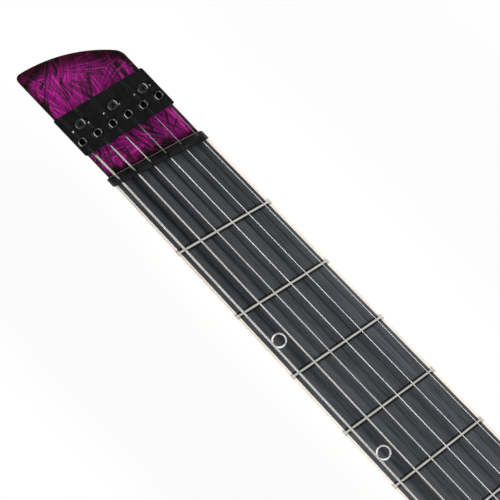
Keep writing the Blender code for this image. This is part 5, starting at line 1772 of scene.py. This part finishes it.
x, y = control_spot(SWITCH_ALONG)
bush = rod((0, 0, 0), (0, 0, 1), 0.0050, 0.0342, 0.0452, 40)
thread = wound_wire(0.0055, 0.0450 - 0.0420 + 0.0007, 0.0007, 40)
bmesh.ops.rotate(thread, verts=thread.verts, cent=(0, 0, 0), matrix=Matrix.Rotation(-math.pi / 2, 3, "Y"))
bmesh.ops.translate(thread, verts=thread.verts, vec=(0, 0, 0.0413))
can = turned(((0, 0.0180), (0.0080, 0.0180), (0.0080, 0.0338), (0.0078, 0.0342), (0, 0.0342)), 40)
bush = to_mesh("switch_bush", merged([bush, thread, can]))
mouth = turned(((0, 0.0400), (0.0026, 0.0405), (0.0036, 0.0456), (0, 0.0456)), 40)
bush = cut(bush, mouth)
bush.transform(Matrix.Translation((x, y, 0)))
finished("switch_bush", bush, "black_metal", nodes=["pickup_switch"])
nut = turned(((0.0052, 0.0421), (0.0078, 0.0421), (0.0078, 0.0431), (0.0072, 0.0437), (0.0052, 0.0437)), 40)
nut = to_mesh("switch_nut", nut, 30)
notches = [rod((0.0080 * math.cos(k * math.pi / 6), 0.0080 * math.sin(k * math.pi / 6), 0), (0, 0, 1), 0.0007, 0.04, 0.05, 12) for k in range(12)]
nut = cut(nut, merged(notches))
nut.transform(Matrix.Translation((x, y, 0)))
finished("switch_nut", nut, "screw_metal")
lever = turned(
    ((0, 0.0375), (0.0012, 0.0375), (0.0018, 0.0390), (0.0020, 0.0405), (0.0018, 0.0418),
     (0.0013, 0.0440), (0.0011, 0.0525), (0, 0.0525)), 32,
)
bmesh.ops.translate(lever, verts=lever.verts, vec=(x, y, 0))
finished("lever_stem", to_mesh("lever_stem", lever), "screw_metal", "switch", ["switch_lever"])
profile = [(0, 0.0516), (0.0015, 0.0516), (0.0018, 0.0519)]
for i in range(1, 13):
    t = i / 12
    profile.append((0.0018 + 0.0010 * math.sin(math.pi * 0.62 * t), 0.0519 + 0.0098 * t))
profile += [(0.0024, 0.0625), (0.0014, 0.0631), (0, 0.0632)]
tip = moved(turned(profile, 36), (x, y, 0))
finished("lever_tip", to_mesh("lever_tip", tip), "black_plastic", "switch")
print("knobs: 2, ridges:", RIDGES)

# %% [markdown]
# ## Jack and strap pegs
# The jack sits in a round plate on the lower rim, held by a hexagon nut, and its bore is open
# for the plug. The strap pegs are waisted, so that the strap can't slip off, and each is fixed
# by one screw through its middle.

# %% Jack and strap pegs
profile = [(0.0052, 0.1508), (0.0125, 0.1508), (0.0125, 0.1527), (0.0122, 0.1532), (0.0117, JACK_FACE)]
profile += [(0.0072, JACK_FACE), (0.0066, 0.1532), (0.0052, 0.1532), (0.0052, 0.1508)]
finished("jack_dish", to_mesh("jack_dish", moved(turned(profile, 64), JACK, (0, 1, 0))), "black_metal", nodes=["jack_plate"])
face = JACK_FACE + GAP
nut = turned(((0.0046, face - 0.0004), (0.0074, face - 0.0004), (0.0074, face + 0.0015), (0.0068, face + 0.0019), (0.0046, face + 0.0019)), 6)
washer = turned(((0.0046, 0.1533), (0.0064, 0.1533), (0.0064, face), (0.0046, face)), 40)
profile = [(0, 0.1205), (0.0085, 0.1205), (0.0085, 0.1505), (0.0048, 0.1505), (0.0048, face + 0.0021)]
profile += [(0.0044, face + 0.0023), (0.0036, face + 0.0023), (0.0033, face + 0.0020), (0.0033, 0.1235), (0, 0.1235)]
jack = merged([nut, washer, turned(profile, 48)])
finished("jack_socket_body", to_mesh("jack_socket_body", moved(jack, JACK, (0, 1, 0)), 30), "bare_steel", nodes=["output_jack"])

profile = [(0, GAP), (0.0062, GAP), (0.0065, 0.0008), (0.0064, 0.0013)]
for i in range(1, 8):
    t = i / 8
    profile.append((0.0064 - 0.0030 * math.sin(math.pi * t) ** 0.8 + 0.0008 * t * t, 0.0013 + 0.0082 * t))
profile += [(0.0073, 0.0098), (0.0075, 0.0102), (0.0074, 0.0106), (0.0070, 0.0108), (0.0052, 0.0108), (0.0040, 0.0100), (0, 0.0100)]
peg = to_mesh("peg", turned(profile, 48), 40)
head = cross_screw(0.0032, 0.0006, 0.002)
for name, (spot, axis) in STRAP_PEGS.items():
    mesh = peg.copy()
    mesh.transform(facing(spot, axis))
    finished(f"strap_peg_{name}", mesh, "black_metal", nodes=[f"strap_button_{name}"])
    mesh = to_mesh(f"strap_screw_{name}", copies(head, [facing(Vector(spot) + 0.0101 * Vector(axis), axis)]), 25)
    finished(f"strap_screw_{name}", mesh, "screw_metal")
print("strap pegs:", len(STRAP_PEGS))
